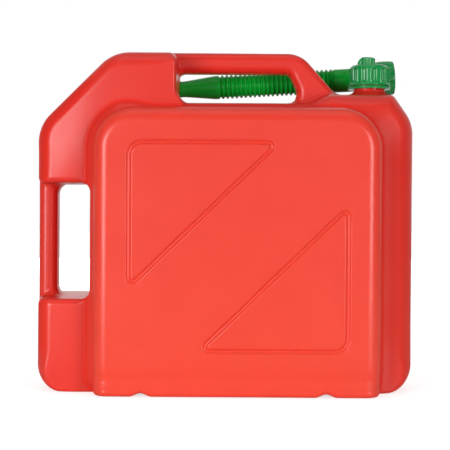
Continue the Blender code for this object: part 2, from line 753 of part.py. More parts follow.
def flute_shape():
    """Twelve upright cutters with round ends, in one mesh."""
    shape = bmesh.new()
    low = CAP_BOTTOM + CAP_FLANGE_HEIGHT - FLUTE_END / 2
    high = CAP_TOP - CAP_SHOULDER + FLUTE_END / 2
    for number in range(FLUTE_COUNT):
        angle = 2 * math.pi * (number + 0.5) / FLUTE_COUNT
        reach = CAP_RADIUS - FLUTE_DEPTH + FLUTE_RADIUS
        middle = (reach * math.cos(angle), reach * math.sin(angle), (low + high) / 2)
        place = Matrix.Translation(middle)
        size = Matrix.Diagonal((1.0, 1.0, (high - low) / 2 / FLUTE_RADIUS, 1.0))
        bmesh.ops.create_uvsphere(
            shape, u_segments=16, v_segments=10, radius=FLUTE_RADIUS, matrix=place @ size
        )
    return shape


def make_cap(finish, neck_axis):
    """The screw cap with its flutes, inner thread and vent spigot."""
    top = CAP_TOP
    roof = CAP_ROOF
    inner = THREAD_CREST + THREAD_ROOT_GAP
    mouth = BEAD_RADIUS + THREAD_ROOT_GAP
    mouth_top = BEAD_TOP + 0.8 * MM
    profile = [
        (mouth, CAP_BOTTOM),
        (CAP_FLANGE, CAP_BOTTOM),
        (CAP_FLANGE, CAP_BOTTOM + CAP_FLANGE_HEIGHT * 0.5),
        (CAP_RADIUS, CAP_BOTTOM + CAP_FLANGE_HEIGHT),
        (CAP_RADIUS, top - CAP_SHOULDER),
        (CAP_RADIUS - CAP_SHOULDER * 0.15, top - CAP_SHOULDER * 0.5),
        (CAP_RADIUS - CAP_SHOULDER * 0.5, top - CAP_SHOULDER * 0.15),
        (CAP_RADIUS - CAP_SHOULDER, top),
        (VENT_HOLE, top),
        (VENT_HOLE, roof),
        (inner, roof),
        (inner, mouth_top),
        (mouth, mouth_top),
    ]
    cap = add_object("screw_cap", lathe(profile, 48), finish, neck_axis)
    ridge_start = THREAD_START + THREAD_PITCH / 2
    ridge = thread(inner, NECK_RADIUS + THREAD_ROOT_GAP, ridge_start, INNER_THREAD_TURNS)
    combine(cap, add_helper("cap_thread", ridge, neck_axis), "UNION")
    spigot = add_helper("spigot", rod(SPIGOT_RADIUS, roof + 1 * MM, top + SPIGOT_HEIGHT, 24))
    spigot.parent = neck_axis
    spigot.location = (VENT_OFFSET, 0.0, 0.0)
    combine(cap, spigot, "UNION")
    hole = add_helper("vent_hole", rod(VENT_HOLE, roof - 1 * MM, top + SPIGOT_HEIGHT + 1 * MM, 16))
    hole.parent = neck_axis
    hole.location = (VENT_OFFSET, 0.0, 0.0)
    combine(cap, hole, "DIFFERENCE")
    combine(cap, add_helper("flutes", flute_shape(), neck_axis), "DIFFERENCE")
    return cap


def make_gasket(name, finish, parent, bottom, outer):
    top = bottom + GASKET_THICKNESS
    profile = [(GASKET_BORE, bottom), (outer, bottom), (outer, top), (GASKET_BORE, top)]
    return add_object(name, lathe(profile, ROUND_STEPS), finish, parent)


def make_ring(finish, neck_axis):
    """The loose ring under the cap, grooved round its rim."""
    bore = NECK_COLLAR + GAP
    middle = (RING_BOTTOM + RING_TOP) / 2
    profile = [
        (bore, RING_BOTTOM),
        (RING_RADIUS - RING_LIP / 2, RING_BOTTOM),
        (RING_RADIUS, RING_BOTTOM + RING_LIP / 2),
        (RING_RADIUS - RING_LIP, middle),
        (RING_RADIUS, RING_TOP - RING_LIP / 2),
        (RING_RADIUS - RING_LIP / 2, RING_TOP),
        (bore, RING_TOP),
    ]
    return add_object("tamper_ring", lathe(profile, ROUND_STEPS), finish, neck_axis)


def strap_shape():
    """The vent cap's strap: an arch from the barrel on its hinge to the knob's wall."""
    rise = KNOB_HEIGHT - STRAP_BARREL - STRAP_TOP_STEP
    run = STRAP_GAP + STRAP_LAP
    arc = 6
    points = []
    for step in range(arc + 1):
        angle = math.pi * (1 + step / arc)
        points.append(Vector((math.cos(angle), math.sin(angle))) * STRAP_BARREL)
    for step in range(1, arc + 1):
        angle = math.pi / 2 * step / arc
        across = run - (run - STRAP_BARREL) * math.cos(angle)
        points.append(Vector((across, (rise - STRAP_THICKNESS) * math.sin(angle))))
    for step in range(arc):
        angle = math.pi / 2 * (1 - step / arc)
        across = run - (run + STRAP_BARREL) * math.cos(angle)
        points.append(Vector((across, rise * math.sin(angle))))
    return loft([(-STRAP_HALF_WIDTH, points), (STRAP_HALF_WIDTH, points)])


def make_vent_cap(finish, hinge):
    """The knob and its strap, moulded in one, about the hinge at the strap's foot."""
    base = -STRAP_BARREL
    top = base + KNOB_HEIGHT
    sections = [
        (KNOB_RADIUS - 0.4 * MM, base, 1.0),
        (KNOB_RADIUS, base + 0.5 * MM, 1.0),
        (KNOB_RADIUS, top - 1.0 * MM, 1.0),
        (KNOB_RADIUS - 0.6 * MM, top, 0.3),
    ]
    knob = add_object("vent_cap", fluted(sections, KNOB_FLUTES, KNOB_FLUTE_DEPTH), finish, hinge)
    knob.data.transform(Matrix.Translation((STRAP_REACH, 0.0, 0.0)))
    recess = add_helper(
        "knob_recess",
        rod(SPIGOT_RADIUS + KNOB_CLEARANCE, base - 1 * MM, top - KNOB_ROOF, 24),
        hinge,
    )
    recess.location = (STRAP_REACH, 0.0, 0.0)
    pin_tip = base - GAP + SPIGOT_HEIGHT - PIN_REACH
    pin = add_helper("vent_pin", rod(PIN_RADIUS, pin_tip, top - KNOB_ROOF / 2, 12), hinge)
    pin.location = (STRAP_REACH, 0.0, 0.0)
    combine(knob, add_helper("strap", strap_shape(), hinge), "UNION")
    combine(knob, recess, "DIFFERENCE")
    combine(knob, pin, "UNION")
    return knob


def hose_profile():
    """The spout's outer line: tip, taper, collar, ribs, cuff and end flange, then its bore."""
    flange_start = NUT_START + NUT_SHOULDER + GAP
    flange_end = flange_start + SPOUT_FLANGE_THICKNESS
    tip_bore = TIP_RADIUS - SPOUT_WALL
    bore = RIB_ROOT - SPOUT_WALL
    points = [
        (tip_bore, -TIP_DEPTH),
        (TIP_RADIUS - 0.5 * MM, -TIP_DEPTH),
        (TIP_RADIUS, -TIP_DEPTH + 0.8 * MM),
        (TIP_RADIUS, TAPER_START),
        (CUFF_RADIUS, TAPER_END),
        (CUFF_RADIUS, RIB_START),
    ]
    for rib in range(RIB_COUNT):
        start = RIB_START + rib * RIB_PITCH
        points.append((RIB_ROOT, start + RIB_PITCH * 0.25))
        points.append((RIB_CREST, start + RIB_PITCH * 0.75))
    points += [
        (CUFF_RADIUS, RIB_END + 0.4 * MM),
        (CUFF_RADIUS, flange_start),
        (SPOUT_FLANGE, flange_start),
        (SPOUT_FLANGE, flange_end),
        (bore, flange_end),
        (bore, TAPER_END),
        (tip_bore, TAPER_START),
    ]
    return points


def make_spout(finish, spout_axis):
    hose = add_object("spout_hose", lathe(hose_profile(), SPOUT_SIDES), finish, spout_axis)
    place = RIB_END + LUG_PLACE
    lugs = bmesh.new()
    for angle in LUG_ANGLES:
        turn = Matrix.Rotation(angle, 4, "Z")
        centre = Matrix.Translation((CUFF_RADIUS, 0.0, place))
        size = Matrix.Diagonal((LUG_SIZE, LUG_SIZE, LUG_SIZE, 1.0))
        bmesh.ops.create_cube(lugs, size=1.0, matrix=turn @ centre @ size)
    combine(hose, add_helper("nut_stops", lugs, spout_axis), "UNION")
    return hose


def make_nut(finish, spout_axis):
    """The knurled union nut, open at its far end, with the neck's thread inside."""
    end = NUT_START + NUT_LENGTH
    inner = THREAD_CREST + THREAD_ROOT_GAP
    sections = [
        (NUT_RADIUS - NUT_EDGE, NUT_START, 0.0),
        (NUT_RADIUS, NUT_START + NUT_EDGE, 0.0),
        (NUT_RADIUS, NUT_START + NUT_RIM, 0.0),
        (NUT_RADIUS, NUT_START + NUT_RIM + NUT_RIB_RUNOUT, 1.0),
        (NUT_RADIUS, end - NUT_RIM - NUT_RIB_RUNOUT, 1.0),
        (NUT_RADIUS, end - NUT_RIM, 0.0),
        (NUT_RADIUS, end - NUT_EDGE / 2, 0.0),
        (NUT_RADIUS - NUT_EDGE / 2, end, 0.0),
    ]
    nut = add_object("spout_nut", fluted(sections, NUT_RIBS, NUT_RIB_DEPTH), finish, spout_axis)
    hollow = add_helper(
        "nut_hollow", rod(inner, NUT_START + NUT_SHOULDER, end + 1 * MM), spout_axis
    )
    hole = add_helper(
        "nut_hole", rod(CUFF_RADIUS + NUT_BORE_GAP, NUT_START - 1 * MM, end, 24), spout_axis
    )
    ridge_start = end - THREAD_END_MARGIN - THREAD_PITCH * INNER_THREAD_TURNS
    ridge = thread(inner, NECK_RADIUS + THREAD_ROOT_GAP, ridge_start, INNER_THREAD_TURNS)
    combine(nut, hollow, "DIFFERENCE")
    combine(nut, hole, "DIFFERENCE")
    combine(nut, add_helper("nut_thread", ridge, spout_axis), "UNION")
    return nut


def main():
    clear_scene()
    red = material("red_polyethylene")
    light_green = material("light_green")
    dark_green = material("dark_green")
    rubber = material("gasket_rubber")

    neck_axis = add_empty("neck_axis", (NECK_X, 0.0, 0.0))
    hinge_x = VENT_OFFSET - STRAP_REACH
    hinge_z = CAP_TOP + GAP + STRAP_BARREL
    vent_hinge = add_empty("vent_hinge", (hinge_x, 0.0, hinge_z), neck_axis)
    spout_axis = add_empty(
        "spout_axis", (BLOCK_FACE_X, SPOUT_Y, SPOUT_Z), tilt=SPOUT_TILT - math.pi / 2
    )

    make_tank(red, neck_axis, spout_axis)
    make_cap(light_green, neck_axis)
    make_gasket("cap_gasket", rubber, neck_axis, NECK_TOP + GAP, THREAD_CREST)
    make_vent_cap(light_green, vent_hinge)
    make_ring(light_green, neck_axis)
    make_spout(dark_green, spout_axis)
    make_nut(light_green, spout_axis)
    flange_end = NUT_START + NUT_SHOULDER + GAP + SPOUT_FLANGE_THICKNESS
    make_gasket("spout_gasket", rubber, spout_axis, flange_end + GAP, SPOUT_FLANGE)


main()
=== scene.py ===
"""Looks of a red plastic fuel can with a green screw cap and a stored green pouring spout.

Blender 4.5. The modelling code works in millimetres in the part's own frame: +Z up, the front that
the photograph shows faces -Y, and the mould parts on Y = 0. The scene itself is in metres.
"""

import json
import math
from collections import namedtuple

import bmesh
import bpy
import numpy as np
from mathutils import Matrix, Vector


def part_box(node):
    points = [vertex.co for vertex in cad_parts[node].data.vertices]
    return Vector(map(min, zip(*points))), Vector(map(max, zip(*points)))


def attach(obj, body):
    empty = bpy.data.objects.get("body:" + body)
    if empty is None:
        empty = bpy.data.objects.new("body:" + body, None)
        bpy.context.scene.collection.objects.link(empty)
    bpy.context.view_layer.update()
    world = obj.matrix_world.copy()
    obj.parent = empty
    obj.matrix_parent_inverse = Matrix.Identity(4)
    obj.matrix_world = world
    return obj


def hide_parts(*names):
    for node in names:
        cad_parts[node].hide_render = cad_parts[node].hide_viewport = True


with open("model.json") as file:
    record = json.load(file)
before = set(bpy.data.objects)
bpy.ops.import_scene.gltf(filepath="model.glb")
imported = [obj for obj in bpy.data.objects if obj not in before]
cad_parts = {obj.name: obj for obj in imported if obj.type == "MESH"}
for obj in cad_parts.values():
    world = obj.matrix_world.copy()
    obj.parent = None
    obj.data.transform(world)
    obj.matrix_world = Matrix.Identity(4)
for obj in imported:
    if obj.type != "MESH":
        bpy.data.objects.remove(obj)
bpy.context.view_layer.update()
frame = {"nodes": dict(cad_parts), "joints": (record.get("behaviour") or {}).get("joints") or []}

MM = 0.001


def node_box(node):
    """A CAD node's lowest and highest corners in millimetres."""
    low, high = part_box(node)
    return np.array(low) / MM, np.array(high) / MM


def joint_line(name):
    """A joint's point in millimetres and its axis."""
    joint = next(item for item in frame["joints"] if item["name"] == name)
    return np.array(joint["pos_m"]) / MM, np.array(joint["axis"], float)


# Sizes that come from the frame
tank_low, tank_high = node_box("tank")
HALF_WIDTH = tank_high[0]
HEIGHT = tank_high[2]
PANEL_DEPTH = tank_high[1]
ring_low, ring_high = node_box("tamper_ring")
NECK_X = joint_line("cap_turn")[0][0]
CAP_BOTTOM = joint_line("cap_turn")[0][2]
SPOUT_START, SPOUT_AXIS = joint_line("spout_pull")
BLOCK_X = SPOUT_START[0]
HINGE = joint_line("vent_flip")[0]

# Tank outline
PLATFORM = HEIGHT - 43.5
SADDLE = PLATFORM - 10
SLAB_DEPTH = 64
SLAB_BASE = -0.2
BASE_RADIUS = 30
CHAMFER_RADIUS = 48
CHAMFER = (82.4, 81.3)
SHOULDER = (22.8, 32.6)
STEP_X = (88, 110)

# The slab's edge, with three values each: plain, along the base, and at the block's right end.
# Its shape across to deep, its radius, and the start and radius of the softer roll inside it.
EDGE_ASPECT = (0.66, 0.66, 0.36)
EDGE_RADIUS = (16, 3.5, 8)
ROLL_START = (10.0, 1.5, 1.0)
ROLL_RADIUS = (6, 1, 2.5)
ROLL_SLOPE = (0.5, 0.866)
END_CORNER = (-2, 13)
END_REACH = ((-44, -24), (1, 13))

# Draft of the slab's sides, and the low sweeps of its face
SIDE_DRAFT = 6
LEFT_DRAFT = 1.3
LEFT_SIDE = (-190, -150)
LEFT_TOP = (236, 290)
BASE_CORNER = (160, 195)
BASE_CORNER_DRAFT = 0.31
END_DRAFT_LOSS = 0.95
BAND_SLOPE = 0.43
BAND_SIDE = (90, 150)
BAND_TOP, BAND_TOP_LOSS = (240, 300), 0.22
BAND_FOOT, BAND_FOOT_LOSS = (6, 75), 0.3
DOME_SLOPE = 0.112
DOME_X = -146
DOME_BEND = 8
DOME_RISE, DOME_LEAN = (196, 262), 0.4
RIM_SAG, RIM_REACH = 0.5, (4, 40)

# Side grip and carry handle
GRIP_LOW, GRIP_HIGH = 98.3, 220
GRIP_LEFT = -HALF_WIDTH + 20.6
GRIP_RIGHT = GRIP_LEFT + 41.3
GRIP_LIP, GRIP_LIP_LOSS = 7, 5.5
BAR_DEPTH = 16
BAR_EDGE = 9.2
BAR_INSET = 0.4
BAR_OVERLAP = 34
HANDLE_UNDER = HEIGHT - 22.3
HANDLE_TOP = HEIGHT - 0.05
LEG_FOOT = NECK_X - 37.8
SHARP_FILLET = 0.5
BAR_FILLET = 10.5
HANDLE_FILLET = 5.5

# Raised panels, grooves and foot
PANEL_LEFT = GRIP_RIGHT + 2.5
PANEL_RIGHT = HALF_WIDTH - 38.9
PANEL_TOP = SADDLE - 8.5
PANEL_BASE = -60
PANEL_EDGE = 15.5
PANEL_CORNER = 46
PANEL_DRAFT = 3
GROOVE_DEPTH = 2.0
GROOVE_REACH = (0.5, 3.0)
GROOVE_LEGS = (153, 149)
UPPER_GROOVE = (PANEL_LEFT + 40.2, PANEL_TOP - 39.7)
LOWER_GROOVE = (PANEL_RIGHT - 37.9, 47.9)
WAIST = 17
WAIST_DEPTH = 1.1
WAIST_SPREAD = 8
FOOT_INSET, FOOT_STEP = 0.8, (6, 15)
NOTCHES = (PANEL_LEFT + 53, PANEL_RIGHT - 59.5)
NOTCH_HALF_WIDTH = 11.5
NOTCH_HEIGHT = 3.5
NOTCH_EDGE = 5
VALLEY_REACH, VALLEY_SOFT = 1.8, 7.6
VALLEY_SIDE = (PANEL_LEFT + 18, PANEL_LEFT + 72)
VALLEY_FOOT, VALLEY_FOOT_RISE = 0.2, (0, 14)
VALLEY_FILLET = 0.9

# Where the skin is dull: beside the panel's foot, at the slab's left edge, on its right band
CREASE_REACH, CREASE_OUT = (1.0, 5.0), (3, 6)
DULL_EDGE, DULL_EDGE_DEPTH = (-20, -15), (30, 44)
DULL_EDGE_X, DULL_EDGE_Z = (-160, -120), (20, 60)
DULL_BAND, DULL_BAND_X = 0.6, (PANEL_RIGHT + 4, PANEL_RIGHT + 12)
DULL_BAND_DEPTH, DULL_BAND_Z = (20, 40), (0, 20)
DULL_BAND_LOSS, DULL_BAND_TOP = 0.8, (240, 285)

# Neck, cradle and socket
NECK_FOOT = 17.4
NECK_FOOT_SPAN = (PLATFORM - 35, PLATFORM + 5)
NECK_FLARE, FLARE_RISE = 3.2, (PLATFORM - 1, PLATFORM + 3.2)
NECK_RADIUS = 16.2
NECK_BORE = 13.9
NECK_TOP = PLATFORM + 26.4
NECK_COLLAR = 16.7
NECK_INSIDE = PLATFORM - 6
BORE_BOTTOM = PLATFORM - 70
BEAD_RADIUS = 17.9
BEAD_TOP = PLATFORM + 10.2
THREAD_PITCH = 4.2
THREAD_START = BEAD_TOP + 3.2
THREAD_DEPTH, THREAD_RIDGE = 1.0, (0.45, 1.0)
THREAD_RUN_IN, THREAD_RUN_OUT = (-0.05, 0.1), (1.6, 1.75)
CUFF_RADIUS = 13.05
TIP_RADIUS = 9.0
CRADLE = (NECK_X - 10.3, NECK_X + 7.7)
CRADLE_TOP = SADDLE + 22
CRADLE_HALF_DEPTH = 13.5
TROUGH_START = 60
SOCKET_MIDDLE, SOCKET_HALF = -5.15, 20.15
HOLE_GAP = 0.3

# The skin lies a little inside the mould's form and waves slightly
SKIN_INSET, SKIN_WAVE = 0.15, 0.12
CELL, BOX_MARGIN = 1.5, 3.2

# Screw cap, vent knob with its strap, and the ring under the cap
CAP_TOP = HINGE[2] - 1.1
CAP_RADIUS = 21.4
CAP_FOOT_RADIUS = 23.1
CAP_BORE, CAP_LINER = 18.3, 17.6
CAP_LID = 3.0
FLUTE_COUNT = 12
FLUTE_TURN = 0.122
FLUTE_ENDS = (CAP_BOTTOM + 5.6, CAP_TOP - 6.6)
FLUTE_DEPTH, FLUTE_REACH = 1.8, (0.6, 2.5)
FLUTE_RIM, FLUTE_RIM_AWAY, FLUTE_RIM_WIDTH = 0.6, 3.0, 0.6
VENT_HOLE = 1.8
SPIGOT_RADIUS = 5.0
SPIGOT_TOP = CAP_TOP + 3.9
KNOB_X = NECK_X - 1.4
KNOB_BASE = HINGE[2] - 0.8
KNOB_TOP = KNOB_BASE + 7.8
KNOB_RADIUS, KNOB_BORE = 7.75, 5.9
KNOB_RIBS = 12
KNOB_GROOVE, KNOB_GROOVE_REACH = 0.55, (0.35, 1.1)
KNOB_TILT = 0.06
PIN_RADIUS = 1.2
STRAP_START = (HINGE[0] + 1.2, KNOB_BASE + 0.8)
STRAP_RUN, STRAP_RISE = 5.1, 5.3
STRAP_HALF_WIDTH, STRAP_HALF_THICK = 3.2, 1.95
RING_RADIUS, RING_BORE = 23.1, 17.0
RING_CHAMFER, RING_GROOVE = 0.5, 0.7

# Spout and nut, along the spout's own axis
TIP_END = -25
TIP_BORE, CUFF_BORE = 7.7, 10.4
TAPER, BORE_TAPER = (6, 39.5), (7, 38)
RIB_START, RIB_COUNT, RIB_PITCH = 44.5, 25, 5.12
RIB_CREST, RIB_ROOT = 13.85, 11.7
NUT_START, NUT_LENGTH, NUT_RADIUS = 220.8, 20.8, 19.1
NUT_END = NUT_START + NUT_LENGTH
NUT_BORE, NUT_INSIDE = 13.45, 17.6
RIB_END = RIB_START + RIB_COUNT * RIB_PITCH
FLANGE_START, FLANGE_THICK = NUT_START + 2.8, 2.4
FLANGE_RADIUS = 16
SPOUT_SEAM, SEAM_REACH = 0.3, (0.15, 0.8)
SEAM_ANGLES = (228, 48)
STOP_ANGLES = (124, 236)
STOP_SIZE, STOP_PLACE = (2.4, 2.2, 2.2), RIB_END + 13
KNURL_COUNT = 18
KNURL_DEPTH, KNURL_REACH = 0.8, (0.5, 1.5)
BARREL_RISE, BARREL_FALL = 0.55, 0.45

# Plastics: colour, darker colour, roughness range, strength of the bumps, and reflection
Plastic = namedtuple("Plastic", "colour darker rough grain specular")
RED = Plastic((0.86, 0.052, 0.029), (0.845, 0.049, 0.028), (0.28, 0.33), 0.5, 0.44)
LIGHT_GREEN = Plastic((0.005, 0.31, 0.068), (0.004, 0.30, 0.062), (0.06, 0.09), 0.2, 0.58)
DARK_GREEN = Plastic((0.002, 0.43, 0.036), (0.002, 0.40, 0.032), (0.18, 0.24), 0.3, 0.3)
GASKET = Plastic((0.030, 0.030, 0.030), (0.022, 0.022, 0.023), (0.65, 0.8), 1.5, 0.5)

# Noise in the plastics: features per metre, detail and roughness
CLOUD = (22.0, 4.0)
FLECK = (650.0, 3.0)
SCUFF = (9.0, 6.0, 0.65)
GRAIN = (900.0, 2.0)
SWELL = (60.0, 2.0)
RIPPLE = (180.0, 2.0)
CLOUD_RANGE, FLECK_RANGE, SCUFF_RANGE = (0.35, 0.65), (0.55, 0.75), (0.35, 0.68)
FLECK_SHARE = 0.35
GRAIN_DEPTH, SWELL_DEPTH, RIPPLE_DEPTH = 0.00003, 0.0003, 0.0004

# Painted shade and light that the red is multiplied by: shade on the slab, none on the panel, light
# at the foot and shade higher up
SLAB_PAINTED_SHADE, PANEL_UNSHADED_TONE = (0.93, 0.65, 0.74), (1.0, 1.0, 1.0)
SLAB_SHADE_REACH = (0.066, 0.090)
FOOT_PAINTED_LIGHT, UPPER_PAINTED_SHADE = (1.09, 1.34, 1.27), (0.975, 0.975, 0.975)
PAINTED_LIGHT_REACH = (0.0, 0.30)
CREASE_SPECULAR = 0.08
SEAM_LINE = (0.0001, 0.0006)

# Studio
WORLD_LIGHT = 0.17
WORLD_FRONT, WORLD_TURN = 0.12, (0.1, 0.9)
FLOOR_GLOW, FLOOR_FADE = 0.70, (0.2, 0.8)
FLOOR_REACH = 8.0
FLOOR_DROP = 0.0004
LAMPS_AIM = (0.0, 0.0, 0.18)
CAMERA_PLACE = (0.0, -1.330, 0.1967)
CAMERA_LENS = 96.7
CAMERA_PITCH, CAMERA_ROLL = -0.9, 0.38

Corner = namedtuple("Corner", "x z radius")


def outline_pieces(corners):
    """The arcs and straight runs of a closed outline with rounded corners, counter-clockwise."""
    arcs = []
    for index, corner in enumerate(corners):
        before = corners[index - 1]
        after = corners[(index + 1) % len(corners)]
        place = np.array((corner.x, corner.z), float)
        along_in = place - (before.x, before.z)
        along_in = along_in / np.hypot(*along_in)
        along_out = np.array((after.x, after.z)) - place
        along_out = along_out / np.hypot(*along_out)
        turn = along_in[0] * along_out[1] - along_in[1] * along_out[0]
        angle = math.atan2(turn, float(along_in @ along_out))
        tangent = corner.radius * math.tan(abs(angle) / 2)
        side = math.copysign(1.0, angle)
        start = place - along_in * tangent
        end = place + along_out * tangent
        centre = start + np.array((-along_in[1], along_in[0])) * side * corner.radius
        arcs.append(("arc", start, end, centre, corner.radius, side))
    pieces = []
    for index, arc in enumerate(arcs):
        pieces.append(arc)
        pieces.append(("run", arc[2], arcs[(index + 1) % len(arcs)][1]))
    return pieces


def outline_distance(pieces, x, z):
    """Signed distance to an outline, negative inside."""
    best = np.full(np.broadcast(x, z).shape, 1e6)
    for kind, start, end, *arc in pieces:
        if kind == "run":
            reach = end - start
            length = np.hypot(*reach)
            if length < 1e-6:
                continue
            reach = reach / length
            dx, dz = x - start[0], z - start[1]
            along = np.clip(dx * reach[0] + dz * reach[1], 0.0, length)
            gap = np.hypot(dx - reach[0] * along, dz - reach[1] * along)
            value = np.where(reach[0] * dz - reach[1] * dx > 0, -gap, gap)
        else:
            centre, radius, side = arc
            dx, dz = x - centre[0], z - centre[1]
            a, b = start - centre, end - centre
            after = side * (a[0] * dz - a[1] * dx) >= 0
            before = side * (dx * b[1] - dz * b[0]) >= 0
            value = np.where(after & before, side * (np.hypot(dx, dz) - radius), 1e6)
        best = np.where(np.abs(value) < np.abs(best), value, best)
    return best


def both(a, b, radius):
    """Where two shapes overlap, with the edge between them rounded."""
    rounded = np.hypot(np.maximum(a + radius, 0.0), np.maximum(b + radius, 0.0))
    return np.minimum(-radius, np.maximum(a, b)) + rounded


def either(a, b, radius):
    """Two shapes joined, with a fillet between them."""
    return -both(-a, -b, radius)


def without(a, b, radius):
    """The first shape cut by the second, with a rounded lip."""
    return both(a, -b, radius)


def ease(value, low, high):
    """Rises smoothly from 0 at low to 1 at high."""
    share = np.clip((value - low) / (high - low), 0.0, 1.0)
    return share * share * (3 - 2 * share)


def rounded_box(x, y, half_x, half_y, radius):
    """Signed distance to a rectangle with rounded corners about the origin."""
    dx = np.abs(x) - half_x + radius
    dy = np.abs(y) - half_y + radius
    outside = np.hypot(np.maximum(dx, 0.0), np.maximum(dy, 0.0))
    return outside + np.minimum(np.maximum(dx, dy), 0.0) - radius


def nets(field, low, high, cell):
    """Points and quads of the surface where a field over a box is zero, by naive surface nets."""
    counts = np.ceil((high - low) / cell).astype(int) + 1
    axes = [(low[k] + cell * np.arange(counts[k])).astype(np.float32) for k in range(3)]
    values = np.empty(counts, np.float32)
    slab = 24
    for first in range(0, counts[0], slab):
        part = slice(first, first + slab)
        values[part] = field(
            axes[0][part, None, None], axes[1][None, :, None], axes[2][None, None, :]
        )
    cells, sums, quads = [], [], []
    for axis in range(3):
        u, v = (axis + 1) % 3, (axis + 2) % 3
        lower = np.take(values, np.arange(counts[axis] - 1), axis)
        upper = np.take(values, np.arange(1, counts[axis]), axis)
        found = np.nonzero((lower < 0) != (upper < 0))
        starts = np.stack(found, 1)
        points = starts.astype(float)
        points[:, axis] += lower[found] / (lower[found] - upper[found])
        around = []
        for du, dv in ((-1, -1), (0, -1), (0, 0), (-1, 0)):
            corner = starts.copy()
            corner[:, u] += du
            corner[:, v] += dv
            ids = (corner[:, 0] * counts[1] + corner[:, 1]) * counts[2] + corner[:, 2]
            around.append(ids)
            cells.append(ids)
            sums.append(points)
        ring = np.stack(around, 1)
        turned_in = lower[found] >= 0
        ring[turned_in] = ring[turned_in][:, ::-1]
        quads.append(ring)
    cells = np.concatenate(cells)
    sums = np.concatenate(sums)
    kept, where = np.unique(cells, return_inverse=True)
    number = np.bincount(where)
    points = np.stack([np.bincount(where, sums[:, k]) / number for k in range(3)], 1)
    quads = np.searchsorted(kept, np.concatenate(quads))
    return low + points * cell, quads


def gradient(field, points, step=0.05):
    """How fast a field grows along X, Y and Z at each point."""
    parts = []
    for axis in range(3):
        shift = np.zeros(3)
        shift[axis] = step
        ahead = field(*(points + shift).T)
        behind = field(*(points - shift).T)
        parts.append((ahead - behind) / (2 * step))
    return np.stack(parts, 1)


def settled(field, points, rounds):
    """Points moved onto the zero surface of a field, and the surface's directions there."""
    for _ in range(rounds):
        slope = gradient(field, points)
        move = field(*points.T) / np.maximum((slope**2).sum(1), 0.04)
        points = points - slope * np.clip(move, -1.0, 1.0)[:, None]
    slope = gradient(field, points)
    return points, slope / np.linalg.norm(slope, axis=1, keepdims=True)


def add_object(name, data):
    """A new object in the scene."""
    made = bpy.data.objects.new(name, data)
    bpy.context.scene.collection.objects.link(made)
    return made


def mesh_object(name, points, faces, normals=None, sharp=None):
    """An object from points in millimetres and rings of four point numbers."""
    mesh = bpy.data.meshes.new(name)
    mesh.vertices.add(len(points))
    mesh.vertices.foreach_set("co", (points * MM).astype(np.float32).ravel())
    mesh.loops.add(faces.size)
    mesh.loops.foreach_set("vertex_index", faces.astype(np.int32).ravel())
    mesh.polygons.add(len(faces))
    mesh.polygons.foreach_set("loop_start", np.arange(0, faces.size, 4, dtype=np.int32))
    mesh.update(calc_edges=True)
    mesh.validate()
    mesh.shade_smooth()
    if sharp:
        mesh.set_sharp_from_angle(angle=math.radians(sharp))
    if normals is not None:
        mesh.normals_split_custom_set_from_vertices(normals.astype(np.float32))
    return add_object(name, mesh)


SLAB_LINE = outline_pieces([
    Corner(-HALF_WIDTH, SLAB_BASE, BASE_RADIUS),
    Corner(HALF_WIDTH, SLAB_BASE, BASE_RADIUS),
    Corner(HALF_WIDTH, PLATFORM - SHOULDER[1], 42),
    Corner(HALF_WIDTH - SHOULDER[0], PLATFORM, 9),
    Corner(STEP_X[1], PLATFORM, 10),
    Corner(STEP_X[0], SADDLE, 10),
    Corner(BLOCK_X, SADDLE, 10),
    Corner(BLOCK_X, HEIGHT, 8),
    Corner(CHAMFER[0] - HALF_WIDTH, HEIGHT, CHAMFER_RADIUS),
    Corner(-HALF_WIDTH, HEIGHT - CHAMFER[1], CHAMFER_RADIUS),
])
PANEL_LINE = outline_pieces([
    Corner(PANEL_LEFT, PANEL_BASE, 8),
    Corner(PANEL_RIGHT, PANEL_BASE, 8),
    Corner(PANEL_RIGHT, PANEL_TOP, PANEL_CORNER),
    Corner(PANEL_LEFT, PANEL_TOP, PANEL_CORNER),
])
HANDLE_LINE = outline_pieces([
    Corner(BLOCK_X - 12, HANDLE_UNDER - 24, 1),
    Corner(BLOCK_X - 3, HANDLE_UNDER - 24, 1),
    Corner(BLOCK_X + 1, HANDLE_UNDER, 8),
    Corner(LEG_FOOT - 50.5, HANDLE_UNDER, 8),
    Corner(LEG_FOOT - 41, PLATFORM + 1, 12),
    Corner(LEG_FOOT - 50.5, SADDLE - 14, 1),
    Corner(LEG_FOOT + 10, SADDLE - 14, 1),
    Corner(LEG_FOOT, PLATFORM, 4),
    Corner(LEG_FOOT - 38.3, HANDLE_TOP, 32),
    Corner(BLOCK_X - 12, HANDLE_TOP, 1),
])
GRIP_GAP_LINE = outline_pieces([
    Corner(-HALF_WIDTH - 30, GRIP_LOW, 1),
    Corner(GRIP_RIGHT, GRIP_LOW, 10),
    Corner(GRIP_RIGHT, GRIP_HIGH, 10),
    Corner(-HALF_WIDTH - 30, GRIP_HIGH, 1),
])


def triangle_line(square, direction):
    """A right triangle with its square corner at a place; direction -1 turns it half round."""
    x, z = square
    return outline_pieces([
        Corner(x, z, 14),
        Corner(x, z - direction * GROOVE_LEGS[1], 4.5),
        Corner(x + direction * GROOVE_LEGS[0], z, 4.5),
    ])


GROOVE_LINES = [triangle_line(UPPER_GROOVE, 1), triangle_line(LOWER_GROOVE, -1)]


def by_edge(values, base, end):
    """A value of the slab's edge: plain, or towards its value at the base or the block's end."""
    plain, at_base, at_end = values
    return plain + (at_base - plain) * base + (at_end - plain) * end


def block_end(x, z):
    """Up to 1 along the block's right end, over the carry handle, where the edge is crisp."""
    from_left, to_right = END_REACH
    end = ease(HEIGHT - z - BLOCK_X + x, *END_CORNER)
    end = end * ease(x, BLOCK_X + from_left[0], BLOCK_X + from_left[1])
    return end * (1 - ease(x, BLOCK_X + to_right[0], BLOCK_X + to_right[1]))


